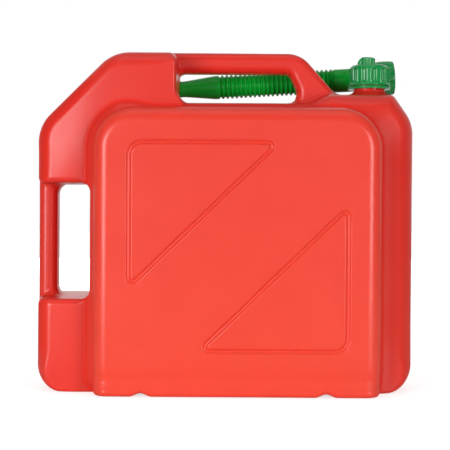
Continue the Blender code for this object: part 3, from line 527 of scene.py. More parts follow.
def slab_sweep(x, z):
    """How far the slab's face falls back: right of the panel, and over the chamfered corner."""
    away = np.maximum(outline_distance(PANEL_LINE, x, z), 0.0)
    upright = 1 - BAND_TOP_LOSS * ease(z, *BAND_TOP)
    upright = upright * (1 - BAND_FOOT_LOSS * (1 - ease(z, *BAND_FOOT)))
    band = BAND_SLOPE * away * ease(x, *BAND_SIDE) * upright
    inward = (DOME_X - x) / 2
    inward = inward + np.hypot(inward, DOME_BEND)
    return band + DOME_SLOPE * inward * ease(z - DOME_LEAN * (x + HALF_WIDTH), *DOME_RISE)


def slab_field(x, depth, z):
    """The slab behind the panels: drafted sides, and edges rounded more or less by place."""
    line = outline_distance(SLAB_LINE, x, z)
    end = block_end(x, z)
    base = ease(HALF_WIDTH - np.abs(x) - z + SLAB_BASE, -BASE_RADIUS, BASE_RADIUS)
    left = (1 - ease(x, *LEFT_SIDE)) * (1 - ease(z, *LEFT_TOP))
    draft = (SIDE_DRAFT + LEFT_DRAFT * left) * (1 - END_DRAFT_LOSS * end)
    draft = draft * (1 - base * (1 - BASE_CORNER_DRAFT * ease(np.abs(x), *BASE_CORNER)))
    sag = RIM_SAG * (1 - ease(-line, *RIM_REACH))
    front = depth - SLAB_DEPTH + slab_sweep(x, z) + sag
    across = (line + draft * depth / SLAB_DEPTH) / by_edge(EDGE_ASPECT, base, end)
    roll = ROLL_SLOPE[0] * across + ROLL_SLOPE[1] * front + by_edge(ROLL_START, base, end) / 2
    edge = both(across, front, by_edge(EDGE_RADIUS, base, end))
    return both(edge, roll, by_edge(ROLL_RADIUS, base, end))


def panel_field(x, depth, z):
    """The raised panel with its triangular grooves."""
    line = outline_distance(PANEL_LINE, x, z)
    cut = 0.0
    for groove in GROOVE_LINES:
        reach = np.abs(outline_distance(groove, x, z))
        cut = cut + GROOVE_DEPTH * (1 - ease(reach, *GROOVE_REACH))
    waist = WAIST_DEPTH * np.exp(-(((z - WAIST) / WAIST_SPREAD) ** 2))
    waist = waist + FOOT_INSET * (1 - ease(z, *FOOT_STEP))
    side = line + PANEL_DRAFT * depth / PANEL_DEPTH + waist / 2
    shape = both(side, depth - PANEL_DEPTH + cut + waist, PANEL_EDGE)
    return both(shape, NOTCH_HEIGHT * notch_rise(x) - z, NOTCH_EDGE)


def notch_rise(x):
    """The height of the two bell-shaped channels under the foot, from 0 to 1."""
    rise = 0.0
    for place in NOTCHES:
        rise = rise + 1 - ease(np.abs(x - place), 0.0, NOTCH_HALF_WIDTH)
    return rise


def valley(slab, panel, reach):
    """Joins the panel to the slab by a sloping wall with soft creases along both its sides."""
    slope = (slab + panel - reach) * math.sqrt(0.5)
    return either(np.minimum(slab, panel), slope, VALLEY_FILLET)


def valley_reach(x, z):
    """How far the wall between panel and slab stretches; widest on the left, least at the foot."""
    soft = 1 - ease(x, *VALLEY_SIDE)
    foot = VALLEY_FOOT + (1 - VALLEY_FOOT) * ease(z, *VALLEY_FOOT_RISE)
    return (VALLEY_REACH + VALLEY_SOFT * soft) * foot


def creases(x, y, z):
    """How dull the skin is, up to 1: round the panel, at the slab's left edge and right band."""
    depth = np.abs(y)
    away = np.abs(panel_field(x, depth, z) - valley_reach(x, z))
    foot = (1 - ease(away, *CREASE_REACH)) * (1 - ease(slab_field(x, depth, z), *CREASE_OUT))
    edge = ease(outline_distance(SLAB_LINE, x, z), *DULL_EDGE) * ease(depth, *DULL_EDGE_DEPTH)
    edge = edge * (1 - ease(x, *DULL_EDGE_X)) * ease(z, *DULL_EDGE_Z)
    band = DULL_BAND * ease(x, *DULL_BAND_X) * ease(depth, *DULL_BAND_DEPTH)
    band = band * ease(z, *DULL_BAND_Z) * (1 - DULL_BAND_LOSS * ease(z, *DULL_BAND_TOP))
    return np.maximum(np.maximum(foot, edge), band)


def along_spout(x, y, z):
    """The distance along the spout's axis and the distance from it."""
    dx, dy, dz = x - SPOUT_START[0], y - SPOUT_START[1], z - SPOUT_START[2]
    along = dx * SPOUT_AXIS[0] + dy * SPOUT_AXIS[1] + dz * SPOUT_AXIS[2]
    across = np.sqrt(np.maximum(dx * dx + dy * dy + dz * dz - along * along, 0.0))
    return along, across


def column(shape, z, low, high, radius):
    """An upright column of a shape seen from above, between two heights."""
    return both(shape, np.abs(z - (low + high) / 2) - (high - low) / 2, radius)


def with_handles(shape, x, depth, z):
    """The body with the side grip's opening and bar, and the carry handle."""
    lip = GRIP_LIP - GRIP_LIP_LOSS * ease(x, GRIP_RIGHT - 14, GRIP_RIGHT - 2)
    shape = without(shape, outline_distance(GRIP_GAP_LINE, x, z), lip)
    bar = rounded_box(
        x - (GRIP_LEFT - HALF_WIDTH + BAR_INSET) / 2,
        z - (GRIP_LOW + GRIP_HIGH) / 2,
        (GRIP_LEFT + HALF_WIDTH - BAR_INSET) / 2,
        (GRIP_HIGH - GRIP_LOW) / 2 + BAR_OVERLAP,
        1,
    )
    inside = ease(x, -HALF_WIDTH + 3, -HALF_WIDTH + 18)
    bar = both(bar, depth - BAR_DEPTH, BAR_EDGE)
    shape = either(shape, bar, SHARP_FILLET + BAR_FILLET * inside)
    under = 1 - ease(z, HEIGHT - 20, HEIGHT - 4)
    handle = both(outline_distance(HANDLE_LINE, x, z), depth - BAR_DEPTH, BAR_EDGE)
    return either(shape, handle, SHARP_FILLET + HANDLE_FILLET * under)


def with_neck(shape, x, y, z):
    """The body with the neck's flared foot, its bore, and the cradle and socket for the spout."""
    from_neck = np.hypot(x - NECK_X, y)
    flare = NECK_FLARE * (1 - ease(z, *FLARE_RISE))
    foot = column(from_neck - NECK_FOOT - flare, z, *NECK_FOOT_SPAN, 0.8)
    shape = either(shape, foot, 3.5)
    half_width = (CRADLE[1] - CRADLE[0]) / 2
    cradle = rounded_box(
        x - sum(CRADLE) / 2, y - SPOUT_START[1], half_width, CRADLE_HALF_DEPTH, 2
    )
    shape = either(shape, column(cradle, z, CRADLE_TOP - 50, CRADLE_TOP, 2), 2)
    along, across = along_spout(x, y, z)
    trough = both(across - CUFF_RADIUS - HOLE_GAP, TROUGH_START - along, 1)
    shape = without(shape, trough, 0.8)
    socket = both(across - TIP_RADIUS - HOLE_GAP, np.abs(along - SOCKET_MIDDLE) - SOCKET_HALF, 1)
    shape = without(shape, socket, 1.2)
    bore = both(from_neck - NECK_BORE - 0.2, BORE_BOTTOM - z, 1)
    return without(shape, bore, 0.5)


def tank_field(x, y, z):
    """The whole outside of the tank: negative inside, in millimetres."""
    depth = np.abs(y)
    slab = slab_field(x, depth, z)
    shape = valley(slab, panel_field(x, depth, z), valley_reach(x, z))
    shape = both(shape, NOTCH_HEIGHT * notch_rise(x) + 0.05 - z, 0.6)
    shape = with_handles(shape, x, depth, z)
    shape = with_neck(shape, x, y, z)
    wave = np.sin(x / 23 + np.sin(z / 31)) * np.sin(z / 27 + 0.6 * np.sin(y / 19))
    return shape + SKIN_INSET + SKIN_WAVE * wave


def make_tank(finish):
    """The tank's body as one smooth mesh, with a point attribute that marks the dull creases."""
    points, quads = nets(tank_field, tank_low - BOX_MARGIN, tank_high + BOX_MARGIN, CELL)
    points, normals = settled(tank_field, points, 2)
    tank = mesh_object("tank_body", points, quads, normals)
    crease = tank.data.attributes.new("crease", "FLOAT", "POINT")
    crease.data.foreach_set("value", creases(*points.T).astype(np.float32))
    dress(tank, finish, "tank", "red_polyethylene", "tank")


def rounded_profile(corners, spacing):
    """Points of radius and height round a closed section whose corners are rounded."""
    points = []
    for kind, start, end, *arc in outline_pieces(corners):
        if kind == "run":
            length = np.hypot(*(end - start))
            steps = max(1, math.ceil(length / spacing))
            shares = np.arange(1, steps) / steps
            points += [start + (end - start) * share for share in shares]
        else:
            centre, radius, side = arc
            if radius < 0.02:
                points.append(start)
                continue
            first = math.atan2(*(start - centre)[::-1])
            turn = math.atan2(*(end - centre)[::-1]) - first
            turn = (turn + math.pi) % (2 * math.pi) - math.pi
            steps = max(3, math.ceil(abs(turn) * radius / spacing), math.ceil(abs(turn) / 0.3))
            for step in range(steps + 1):
                at = first + turn * step / steps
                points.append(centre + radius * np.array((math.cos(at), math.sin(at))))
    return np.array(points)


def ring_faces(rows, columns):
    """Quads of a surface closed both ways round, as rows of points."""
    row = np.arange(rows)[:, None]
    column = np.arange(columns)[None, :]
    row_after, column_after = (row + 1) % rows, (column + 1) % columns
    corners = (
        row * columns + column,
        row_after * columns + column,
        row_after * columns + column_after,
        row * columns + column_after,
    )
    return np.stack([np.broadcast_to(c, (rows, columns)) for c in corners], -1).reshape(-1, 4)


def outward(points, faces):
    """The faces, turned over if they enclose a negative volume."""
    a, b, c, d = (points[faces[:, k]] for k in range(4))
    volume = (np.cross(a, b) * c).sum() + (np.cross(a, c) * d).sum()
    return faces if volume > 0 else faces[:, ::-1]


def turned(name, corners, sides, spacing, shape, place, sharp=40):
    """A closed section turned about Z, carved by shape(angle, radius, height) if there is one."""
    profile = rounded_profile(corners, spacing)
    angle = (2 * math.pi * np.arange(sides) / sides)[:, None]
    radius = np.broadcast_to(profile[:, 0], (sides, len(profile)))
    height = np.broadcast_to(profile[:, 1], (sides, len(profile)))
    if shape:
        radius, height = shape(angle, radius, height)
    points = np.stack((radius * np.cos(angle), radius * np.sin(angle), height), -1).reshape(-1, 3)
    faces = outward(points, ring_faces(sides, len(profile)))
    points = points @ place[:3, :3].T + place[:3, 3]
    return mesh_object(name, points, faces, sharp=sharp)


def upright_at(x):
    """An upright frame in the can's middle plane."""
    place = np.eye(4)
    place[0, 3] = x
    return place


def over_step(angle, count, radius):
    """How far along a circle an angle is from the middle of its step, where count steps fill it."""
    pitch = 2 * math.pi / count
    return ((angle / pitch) % 1.0 - 0.5) * pitch * radius


def spout_place():
    """The spout's own frame: Z along its axis, Y as the can's, X pointing down."""
    place = np.eye(4)
    sideways = np.array((0.0, 1.0, 0.0))
    place[:3, 0] = np.cross(sideways, SPOUT_AXIS)
    place[:3, 1] = sideways
    place[:3, 2] = SPOUT_AXIS
    place[:3, 3] = SPOUT_START
    return place


def dress(piece, finish, body, slot, *replaced):
    """Gives a piece its material and its body, and hides the CAD nodes it stands for; the slot is
    not used.
    """
    piece.data.materials.clear()
    piece.data.materials.append(finish)
    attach(piece, body)
    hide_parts(*replaced)


def make_neck(finish):
    """The threaded neck above the tank's collar."""

    def thread(angle, radius, height):
        """The thread's ridge, under two turns long, fading in and out."""
        turns = (height - THREAD_START) / THREAD_PITCH - angle / (2 * math.pi)
        lap = np.round(turns)
        away = np.abs(turns - lap) * THREAD_PITCH
        total = lap + angle / (2 * math.pi)
        ends = ease(total, *THREAD_RUN_IN) * (1 - ease(total, *THREAD_RUN_OUT))
        ridge = THREAD_DEPTH * (1 - ease(away, *THREAD_RIDGE)) * ends
        outer = radius > NECK_RADIUS - 0.1
        above = height > BEAD_TOP + 0.6
        return radius + np.where(outer & above, ridge, 0.0), height

    corners = [
        Corner(NECK_BORE, NECK_INSIDE, 0.3),
        Corner(NECK_COLLAR, NECK_INSIDE, 0.3),
        Corner(NECK_COLLAR, BEAD_TOP - 1.5, 0.3),
        Corner(BEAD_RADIUS, BEAD_TOP - 1.3, 0.4),
        Corner(BEAD_RADIUS, BEAD_TOP, 0.5),
        Corner(NECK_RADIUS, BEAD_TOP + 0.3, 0.3),
        Corner(NECK_RADIUS, NECK_TOP, 0.8),
        Corner(NECK_BORE, NECK_TOP, 0.6),
    ]
    neck = turned("tank_neck", corners, 180, 0.5, thread, upright_at(NECK_X))
    dress(neck, finish, "tank", "red_polyethylene", "tank")


def make_cap(finish):
    """The screw cap: oval flutes with raised rims, a soft shoulder and a flared foot."""
    middle = sum(FLUTE_ENDS) / 2
    half = (FLUTE_ENDS[1] - FLUTE_ENDS[0]) / 2

    def flutes(angle, radius, height):
        """Oval hollows round the cap, each with a raised rim."""
        across = over_step(angle + FLUTE_TURN, FLUTE_COUNT, CAP_RADIUS)
        away = np.hypot(across, np.maximum(np.abs(height - middle) - half, 0.0))
        hollow = FLUTE_DEPTH * (1 - ease(away, *FLUTE_REACH))
        rim = FLUTE_RIM * np.exp(-(((away - FLUTE_RIM_AWAY) / FLUTE_RIM_WIDTH) ** 2))
        outer = radius > CAP_RADIUS - 1.5
        return radius + np.where(outer, rim - hollow, 0.0), height

    corners = [
        Corner(CAP_BORE, CAP_BOTTOM, 0.3),
        Corner(CAP_FOOT_RADIUS, CAP_BOTTOM, 0.5),
        Corner(CAP_FOOT_RADIUS - 0.1, CAP_BOTTOM + 1.3, 0.5),
        Corner(CAP_RADIUS, CAP_BOTTOM + 2.4, 2.0),
        Corner(CAP_RADIUS, CAP_TOP - 0.7, 5.0),
        Corner(12, CAP_TOP, 10),
        Corner(VENT_HOLE, CAP_TOP, 0.3),
        Corner(VENT_HOLE, CAP_TOP - CAP_LID, 0.3),
        Corner(CAP_LINER, CAP_TOP - CAP_LID, 0.5),
        Corner(CAP_LINER, BEAD_TOP + 0.8, 0.2),
        Corner(CAP_BORE, BEAD_TOP + 0.6, 0.2),
    ]
    cap = turned("cap_shell", corners, 288, 0.6, flutes, upright_at(NECK_X), sharp=60)
    dress(cap, finish, "cap", "light_green", "screw_cap")


def make_spigot(finish):
    """The short vent spigot on the cap, under the knob."""
    corners = [
        Corner(VENT_HOLE, CAP_TOP - 1.5, 0.2),
        Corner(SPIGOT_RADIUS, CAP_TOP - 1.5, 0.2),
        Corner(SPIGOT_RADIUS, SPIGOT_TOP, 0.6),
        Corner(VENT_HOLE, SPIGOT_TOP, 0.4),
    ]
    spigot = turned("cap_spigot", corners, 64, 0.8, None, upright_at(KNOB_X))
    dress(spigot, finish, "cap", "light_green", "screw_cap")


def make_knob(finish):
    """The vent's ribbed knob, its top a little tilted."""

    def ribs(angle, radius, height):
        """Narrow ribs round the knob, and its top's tilt."""
        across = np.abs(over_step(angle, KNOB_RIBS, KNOB_RADIUS))
        groove = KNOB_GROOVE * ease(across, *KNOB_GROOVE_REACH)
        outer = ease(radius, KNOB_RADIUS - 1.2, KNOB_RADIUS - 0.4)
        slope = ease(height, KNOB_BASE + 4, KNOB_TOP) * KNOB_TILT * radius * np.cos(angle)
        return radius - groove * outer, height - slope

    corners = [
        Corner(KNOB_BORE, KNOB_BASE, 0.3),
        Corner(KNOB_RADIUS, KNOB_BASE, 0.4),
        Corner(KNOB_RADIUS, KNOB_TOP, 1.1),
        Corner(0.0, KNOB_TOP + 0.2, 0.0),
        Corner(0.0, KNOB_TOP - 1.8, 0.0),
        Corner(KNOB_BORE, KNOB_TOP - 1.8, 0.4),
    ]
    knob = turned("vent_knob", corners, 192, 0.45, ribs, upright_at(KNOB_X))
    dress(knob, finish, "vent", "light_green", "vent_cap")


def make_pin(finish):
    """The pin inside the knob that closes the spigot's hole."""
    corners = [
        Corner(0.0, KNOB_TOP - 1.0, 0.0),
        Corner(0.0, KNOB_BASE + 2.6, 0.0),
        Corner(PIN_RADIUS, KNOB_BASE + 2.6, 0.5),
        Corner(PIN_RADIUS, KNOB_TOP - 1.0, 0.1),
    ]
    pin = turned("vent_pin", corners, 32, 0.5, None, upright_at(KNOB_X))
    dress(pin, finish, "vent", "light_green", "vent_cap")


def make_strap(finish):
    """The strap that curves up from the hinge and carries the knob."""
    angle = np.linspace(0.0, math.pi / 2, 29)
    out = STRAP_RUN * (1 - np.cos(angle))
    up = STRAP_RISE * np.sin(angle)
    line = np.stack((STRAP_START[0] + out, STRAP_START[1] + up), 1)
    strap = swept_strap("vent_strap", line, STRAP_HALF_WIDTH, STRAP_HALF_THICK)
    dress(strap, finish, "vent", "light_green", "vent_cap")


def swept_strap(name, line, half_width, half_thick):
    """A band with round edges along a line in X and Z, closed at both ends."""
    tangent = np.gradient(line, axis=0)
    tangent = tangent / np.linalg.norm(tangent, axis=1, keepdims=True)
    normal = np.stack((-tangent[:, 1], tangent[:, 0]), 1)
    section, flat_edge, flat_face, end_size = 16, 0.35, 0.6, 0.55
    angle = 2 * math.pi * np.arange(section) / section
    across = np.sign(np.cos(angle)) * np.abs(np.cos(angle)) ** flat_edge * half_width
    out = np.sign(np.sin(angle)) * np.abs(np.sin(angle)) ** flat_face * half_thick
    count = len(line)
    fade = np.ones(count)
    fade[0] = fade[-1] = end_size
    points = []
    for index in range(count):
        place = line[index] + normal[index] * (out * fade[index])[:, None]
        points.append(np.stack((place[:, 0], across * (0.9 + 0.1 * fade[index]), place[:, 1]), 1))
    points = np.concatenate(points)
    faces = []
    for index in range(count - 1):
        for side in range(section):
            after = (side + 1) % section
            low, high = index * section, (index + 1) * section
            faces.append((low + side, low + after, high + after, high + side))
    faces = outward(points, np.array(faces))
    made = mesh_object(name, points, faces, sharp=50)
    close_ends(made.data)
    return made


def close_ends(mesh):
    """Fills a mesh's open ends and turns all its faces outward."""
    shape = bmesh.new()
    shape.from_mesh(mesh)
    edges = [edge for edge in shape.edges if edge.is_boundary]
    bmesh.ops.holes_fill(shape, edges=edges, sides=0)
    bmesh.ops.recalc_face_normals(shape, faces=shape.faces)
    for face in shape.faces:
        face.smooth = True
    shape.to_mesh(mesh)
    shape.free()


def make_ring(finish):
    """The loose ring under the cap, with a groove round its rim."""
    low, high = ring_low[2], ring_high[2]
    corners = [
        Corner(RING_BORE, low, 0.2),
        Corner(RING_RADIUS - RING_CHAMFER, low, 0.3),
        Corner(RING_RADIUS, low + 0.55, 0.4),
        Corner(RING_RADIUS - RING_GROOVE, (low + high) / 2, 0.5),
        Corner(RING_RADIUS, high - 0.55, 0.4),
        Corner(RING_RADIUS - RING_CHAMFER, high, 0.3),
        Corner(RING_BORE, high, 0.2),
    ]
    ring = turned("tamper_ring_band", corners, 180, 0.5, None, upright_at(NECK_X), sharp=70)
    dress(ring, finish, "ring", "light_green", "tamper_ring")


def hose_corners():
    """The spout's section: tip, taper, collar, corrugations, cuff, end flange and bore."""
    corners = [
        Corner(TIP_BORE, TIP_END, 0.3),
        Corner(TIP_RADIUS, TIP_END, 0.8),
        Corner(TIP_RADIUS, TAPER[0], 20),
        Corner(CUFF_RADIUS + 0.1, TAPER[1], 12),
        Corner(CUFF_RADIUS + 0.1, RIB_START - 0.2, 0.4),
    ]
    for rib in range(RIB_COUNT):
        start = RIB_START + rib * RIB_PITCH
        corners.append(Corner(RIB_ROOT - 0.7, start + 0.25 * RIB_PITCH, 0.35))
        corners.append(Corner(RIB_CREST + 0.4, start + 0.75 * RIB_PITCH, 1.0))
    return corners + [
        Corner(RIB_ROOT + 0.4, RIB_END + 0.6, 0.4),
        Corner(CUFF_RADIUS, RIB_END + 2.2, 0.8),
        Corner(CUFF_RADIUS, FLANGE_START, 0.3),
        Corner(FLANGE_RADIUS, FLANGE_START, 0.3),
        Corner(FLANGE_RADIUS, FLANGE_START + FLANGE_THICK, 0.3),
        Corner(CUFF_BORE, FLANGE_START + FLANGE_THICK, 0.3),
        Corner(CUFF_BORE, BORE_TAPER[1], 6),
        Corner(TIP_BORE, BORE_TAPER[0], 6),
    ]


def make_hose(finish):
    """The pouring spout with its bore, and the two stops on its cuff."""

    def seam(angle, radius, height):
        """A fine moulding ridge along the taper and the cuff, on both sides."""
        ridge = 0.0
        for at in SEAM_ANGLES:
            across = np.abs(np.angle(np.exp(1j * (angle - math.radians(at))))) * radius
            ridge = ridge + SPOUT_SEAM * (1 - ease(across, *SEAM_REACH))
        outer = radius > TIP_RADIUS - 0.2
        plain = (height < RIB_START - 1) | (height > RIB_END + 3)
        return radius + np.where(outer & plain & (height < FLANGE_START - 1), ridge, 0.0), height

    hose = turned("spout_body", hose_corners(), 144, 0.9, seam, spout_place(), sharp=50)
    dress(hose, finish, "spout", "dark_green", "spout_hose")
    for number, at in enumerate(STOP_ANGLES):
        stop = nut_stop(f"nut_stop_{number}", math.radians(at))
        dress(stop, finish, "spout", "dark_green", "spout_hose")


def nut_stop(name, at):
    """A small block on the cuff, at an angle, that keeps the nut from sliding down the spout."""
    shape = bmesh.new()
    bmesh.ops.create_cube(shape, size=1.0)
    bmesh.ops.scale(shape, vec=STOP_SIZE, verts=shape.verts)
    bmesh.ops.bevel(
        shape, geom=list(shape.edges), offset=0.35, segments=3, profile=0.5, affect="EDGES"
    )
    turn = Matrix.Rotation(at, 4, "Z") @ Matrix.Translation((CUFF_RADIUS, 0.0, STOP_PLACE))
    shape.transform(Matrix(spout_place().tolist()) @ turn)
    shape.transform(Matrix.Scale(MM, 4))
    mesh = bpy.data.meshes.new(name)
    shape.to_mesh(mesh)
    shape.free()
    mesh.shade_smooth()
    return add_object(name, mesh)


def make_nut(finish):
    """The union nut: broad knurls between two plain rims, a little barrel-shaped."""

    def knurls(angle, radius, height):
        """Broad knurls with narrow gaps between them, and the barrel shape."""
        across = np.abs(over_step(angle, KNURL_COUNT, NUT_RADIUS))
        cut = KNURL_DEPTH * (1 - ease(across, *KNURL_REACH))
        between = ease(height, NUT_START + 2.0, NUT_START + 3.2)
        between = between * (1 - ease(height, NUT_END - 3.4, NUT_END - 2.2))
        share = (height - NUT_START) / NUT_LENGTH
        barrel = BARREL_RISE * (1 - (2 * share - 1) ** 2) - BARREL_FALL
        outer = ease(radius, NUT_INSIDE + 0.1, NUT_INSIDE + 0.4)
        return radius + outer * (barrel - cut * between), height

    corners = [
        Corner(NUT_BORE, NUT_START, 0.3),
        Corner(NUT_RADIUS, NUT_START, 1.6),
        Corner(NUT_RADIUS, NUT_END - 2.0, 0.3),
        Corner(NUT_RADIUS - 0.35, NUT_END - 1.8, 0.2),
        Corner(NUT_RADIUS, NUT_END - 1.5, 0.2),
        Corner(NUT_RADIUS, NUT_END, 0.9),
        Corner(NUT_INSIDE, NUT_END, 0.4),
        Corner(NUT_INSIDE, NUT_START + 2.5, 0.3),
        Corner(NUT_BORE, NUT_START + 2.5, 0.2),
    ]
    nut = turned("spout_nut_shell", corners, 288, 0.6, knurls, spout_place(), sharp=60)
    dress(nut, finish, "nut", "light_green", "spout_nut")


class Nodes:
    """Short calls for building a material's nodes."""

    def __init__(self, name):
        self.material = bpy.data.materials.new(name)
        self.material.use_nodes = True
        self.tree = self.material.node_tree
        self.shader = self.tree.nodes["Principled BSDF"]
        self.place = self.add("ShaderNodeTexCoord").outputs["Object"]

    def add(self, kind, **settings):
        """A new node with its settings."""
        made = self.tree.nodes.new(kind)
        for key, value in settings.items():
            setattr(made, key, value)
        return made

    def link(self, source, target):
        """Joins an output to an input."""
        self.tree.links.new(source, target)

    def noise(self, scale, detail, roughness=0.5):
        """Noise with a feature about 1 / scale metres wide."""
        node = self.add("ShaderNodeTexNoise")
        node.inputs["Scale"].default_value = scale
        node.inputs["Detail"].default_value = detail
        node.inputs["Roughness"].default_value = roughness
        self.link(self.place, node.inputs["Vector"])
        return node.outputs["Fac"]

    def spread(self, source, low, high, from_low=0.3, from_high=0.7):
        """A value mapped smoothly from one range to another."""
        node = self.add("ShaderNodeMapRange")
        node.interpolation_type = "SMOOTHSTEP"
        ends = {"From Min": from_low, "From Max": from_high, "To Min": low, "To Max": high}
        for end, value in ends.items():
            node.inputs[end].default_value = value
        self.link(source, node.inputs["Value"])
        return node.outputs["Result"]

    def math(self, operation, *sources):
        """The result of an operation on one or two outputs."""
        node = self.add("ShaderNodeMath", operation=operation)
        for socket, source in zip(node.inputs, sources):
            self.link(source, socket)
        return node.outputs["Value"]

    def blend(self, share, first, second):
        """A colour between two colours, each a tuple or a socket."""
        node = self.add("ShaderNodeMix", data_type="RGBA")
        sockets = (node.inputs[6], node.inputs[7])
        for socket, value in zip(sockets, (first, second)):
            if isinstance(value, tuple):
                socket.default_value = (*value, 1.0)
            else:
                self.link(value, socket)
        self.link(share, node.inputs["Factor"])
        return node.outputs[2]

    def tint(self, tone):
        """Multiplies the colour that the material has so far by a tone."""
        colour = self.shader.inputs["Base Color"]
        product = self.add("ShaderNodeVectorMath", operation="MULTIPLY")
        self.link(colour.links[0].from_socket, product.inputs[0])
        self.link(tone, product.inputs[1])
        self.link(product.outputs["Vector"], colour)

    def bump(self, height, distance, below=None):
        """Relief of a depth in metres, added to the relief below it."""
        node = self.add("ShaderNodeBump")
        node.inputs["Strength"].default_value = 1.0
        node.inputs["Distance"].default_value = distance
        self.link(height, node.inputs["Height"])
        if below is not None:
            self.link(below, node.inputs["Normal"])
        return node.outputs["Normal"]


def moulded(name, plastic):
    """A moulded plastic: mottled colour with pale flecks, uneven gloss, fine grain and swells."""
    nodes = Nodes(name)
    colour = plastic.colour
    cloud = nodes.spread(nodes.noise(*CLOUD), 0.0, 1.0, *CLOUD_RANGE)
    fleck = nodes.spread(nodes.noise(*FLECK), 0.0, FLECK_SHARE, *FLECK_RANGE)
    pale = tuple(min(1.0, value * 1.03 + 0.004) for value in colour)
    shade = nodes.blend(fleck, nodes.blend(cloud, colour, plastic.darker), pale)
    nodes.link(shade, nodes.shader.inputs["Base Color"])
    gloss = nodes.spread(nodes.noise(*SCUFF), *plastic.rough, *SCUFF_RANGE)
    nodes.link(gloss, nodes.shader.inputs["Roughness"])
    nodes.shader.inputs["Specular IOR Level"].default_value = plastic.specular
    skin = nodes.bump(nodes.noise(*GRAIN), GRAIN_DEPTH * plastic.grain)
    soft = nodes.bump(nodes.noise(*SWELL), SWELL_DEPTH * plastic.grain, skin)
    nodes.link(soft, nodes.shader.inputs["Normal"])
    return nodes


def red_plastic():
    """The tank's skin: painted shade on the deeper slab, painted light at the foot and painted
    shade higher up, dull in creases, with the mould's faint line.
    """
    nodes = moulded("red_blow_moulded", RED)
    split = nodes.add("ShaderNodeSeparateXYZ")
    nodes.link(nodes.place, split.inputs["Vector"])
    away = nodes.math("ABSOLUTE", split.outputs["Y"])
    # Painted shade: the slab, deeper than the panel, is coloured darker and deeper red than the
    # panel
    outer = nodes.spread(away, 0.0, 1.0, *SLAB_SHADE_REACH)
    nodes.tint(nodes.blend(outer, SLAB_PAINTED_SHADE, PANEL_UNSHADED_TONE))
    # Painted light: the red is brighter and more orange at the foot and a little darker higher up
    upper = nodes.spread(split.outputs["Z"], 0.0, 1.0, *PAINTED_LIGHT_REACH)
    nodes.tint(nodes.blend(upper, FOOT_PAINTED_LIGHT, UPPER_PAINTED_SHADE))
    crease = nodes.add("ShaderNodeAttribute", attribute_name="crease")
    dull = nodes.spread(crease.outputs["Fac"], RED.specular, CREASE_SPECULAR, 0.0, 1.0)
    nodes.link(dull, nodes.shader.inputs["Specular IOR Level"])
    ridge = nodes.spread(away, 1.0, 0.0, *SEAM_LINE)
    uneven = nodes.spread(nodes.noise(*RIPPLE), 0.5, 1.0)
    below = nodes.shader.inputs["Normal"].links[0].from_socket
    seam = nodes.bump(nodes.math("MULTIPLY", ridge, uneven), RIPPLE_DEPTH, below)
    nodes.link(seam, nodes.shader.inputs["Normal"])
    return nodes.material


def light_green():
    """The glossy green of the cap, the vent, the ring and the nut."""
    return moulded("light_green_moulded", LIGHT_GREEN).material


def dark_green():
    """The softer green of the spout."""
    return moulded("dark_green_moulded", DARK_GREEN).material


def rubber():
    """The matt rubber of the two gaskets."""
    return moulded("gasket_rubber", GASKET).material


def light_area(name, azimuth, height, distance, size, radiance, mirrored=True):
    """A soft box facing the can, by its angle right of the camera and its radiance.

    One that isn't mirrored lights the can but doesn't show in its reflections.
    """
    light = bpy.data.lights.new(name, "AREA")
    light.shape = "RECTANGLE"
    light.size, light.size_y = size
    light.energy = radiance * math.pi * size[0] * size[1]
    item = add_object(name, light)
    turn = math.radians(azimuth)
    place = Vector((math.sin(turn) * distance, -math.cos(turn) * distance, height))
    item.location = place
    item.rotation_euler = (Vector(LAMPS_AIM) - place).to_track_quat("-Z", "Y").to_euler()
    item.visible_glossy = mirrored


def make_world():
    """White behind the can and where the camera sees it, dimmer where it lights the front."""
    world = bpy.data.worlds.new("studio")
    bpy.context.scene.world = world
    world.use_nodes = True
    tree = world.node_tree

    def ranged(source, low, high, from_low=0.0, from_high=1.0):
        """A value mapped from one range to another, whose ends can be sockets."""
        node = tree.nodes.new("ShaderNodeMapRange")
        node.inputs["From Min"].default_value = from_low
        node.inputs["From Max"].default_value = from_high
        for socket, value in (("To Min", low), ("To Max", high)):
            if isinstance(value, float):
                node.inputs[socket].default_value = value
            else:
                tree.links.new(value, node.inputs[socket])
        tree.links.new(source, node.inputs["Value"])
        return node.outputs["Result"]

    path = tree.nodes.new("ShaderNodeLightPath")
    place = tree.nodes.new("ShaderNodeTexCoord")
    split = tree.nodes.new("ShaderNodeSeparateXYZ")
    tree.links.new(place.outputs["Generated"], split.inputs["Vector"])
    mirrored = ranged(split.outputs["Y"], WORLD_FRONT, 1.0, *WORLD_TURN)
    lit = ranged(path.outputs["Is Glossy Ray"], WORLD_LIGHT, mirrored)
    background = tree.nodes["Background"]
    background.inputs["Color"].default_value = (1.0, 1.0, 1.0, 1.0)
    tree.links.new(
        ranged(path.outputs["Is Camera Ray"], lit, 1.0), background.inputs["Strength"]
    )


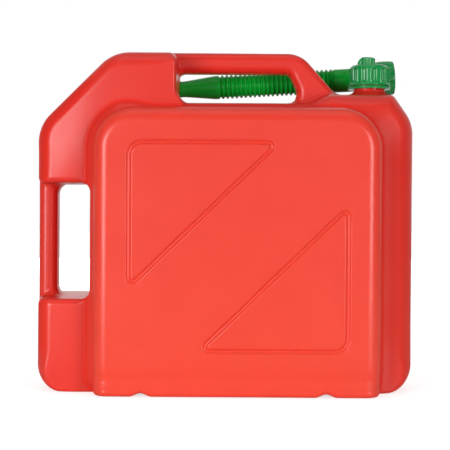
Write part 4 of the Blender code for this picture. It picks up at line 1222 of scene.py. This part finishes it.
def make_floor():
    """A white floor that keeps a faint shadow under the can."""
    mesh = bpy.data.meshes.new("floor")
    sides = ((-1, -1), (1, -1), (1, 1), (-1, 1))
    mesh.from_pydata([(x * FLOOR_REACH, y * FLOOR_REACH, 0) for x, y in sides], [], [(0, 1, 2, 3)])
    floor = add_object("floor", mesh)
    floor.location = (0.0, 0.0, -FLOOR_DROP)
    nodes = Nodes("floor_white")
    nodes.shader.inputs["Base Color"].default_value = (0.8, 0.8, 0.8, 1.0)
    nodes.shader.inputs["Roughness"].default_value = 0.9
    nodes.shader.inputs["Specular IOR Level"].default_value = 0.0
    nodes.shader.inputs["Emission Color"].default_value = (1.0, 1.0, 1.0, 1.0)
    away = nodes.add("ShaderNodeVectorMath", operation="LENGTH")
    nodes.link(nodes.place, away.inputs[0])
    level = nodes.spread(away.outputs["Value"], FLOOR_GLOW, 1.0, *FLOOR_FADE)
    path = nodes.add("ShaderNodeLightPath")
    glow = nodes.math("MULTIPLY", path.outputs["Is Camera Ray"], level)
    nodes.link(glow, nodes.shader.inputs["Emission Strength"])
    mesh.materials.append(nodes.material)


def make_lights():
    """Two soft boxes at the sides, weak fills in front and above, and one behind the can."""
    light_area("box_left", -33, 0.38, 1.9, (0.60, 0.80), 11.2)
    light_area("box_right", 36, 0.37, 1.9, (0.48, 0.76), 11.0)
    light_area("front", -3, 0.60, 3.0, (2.4, 1.0), 0.5)
    light_area("above", 0, 1.50, 0.3, (1.4, 0.8), 0.7)
    light_area("behind", 180, 0.70, 3.0, (2.4, 1.4), 4.4, mirrored=False)


def make_camera():
    """The photograph's view: 1.1 mm a pixel at the can's middle plane, in a 450 pixel frame."""
    data = bpy.data.cameras.new("camera")
    data.lens = CAMERA_LENS
    data.sensor_width = 36.0
    camera = add_object("camera", data)
    pitch, roll = math.radians(CAMERA_PITCH), math.radians(CAMERA_ROLL)
    facing = Matrix.Rotation(math.pi / 2 + pitch, 4, "X") @ Matrix.Rotation(roll, 4, "Z")
    camera.matrix_world = Matrix.Translation(CAMERA_PLACE) @ facing
    bpy.context.scene.camera = camera


def finish_gaskets():
    """The two gaskets keep their CAD solids and get the rubber."""
    finish = rubber()
    for node in ("cap_gasket", "spout_gasket"):
        materials = frame["nodes"][node].data.materials
        materials.clear()
        materials.append(finish)


def main():
    """Builds the can's pieces, then the studio round it."""
    bpy.context.scene.view_settings.view_transform = "Standard"
    make_camera()
    red, glossy_green, soft_green = red_plastic(), light_green(), dark_green()
    make_tank(red)
    make_neck(red)
    for make in (make_cap, make_spigot, make_knob, make_pin, make_strap, make_ring):
        make(glossy_green)
    make_hose(soft_green)
    make_nut(glossy_green)
    finish_gaskets()
    make_floor()
    make_world()
    make_lights()


main()
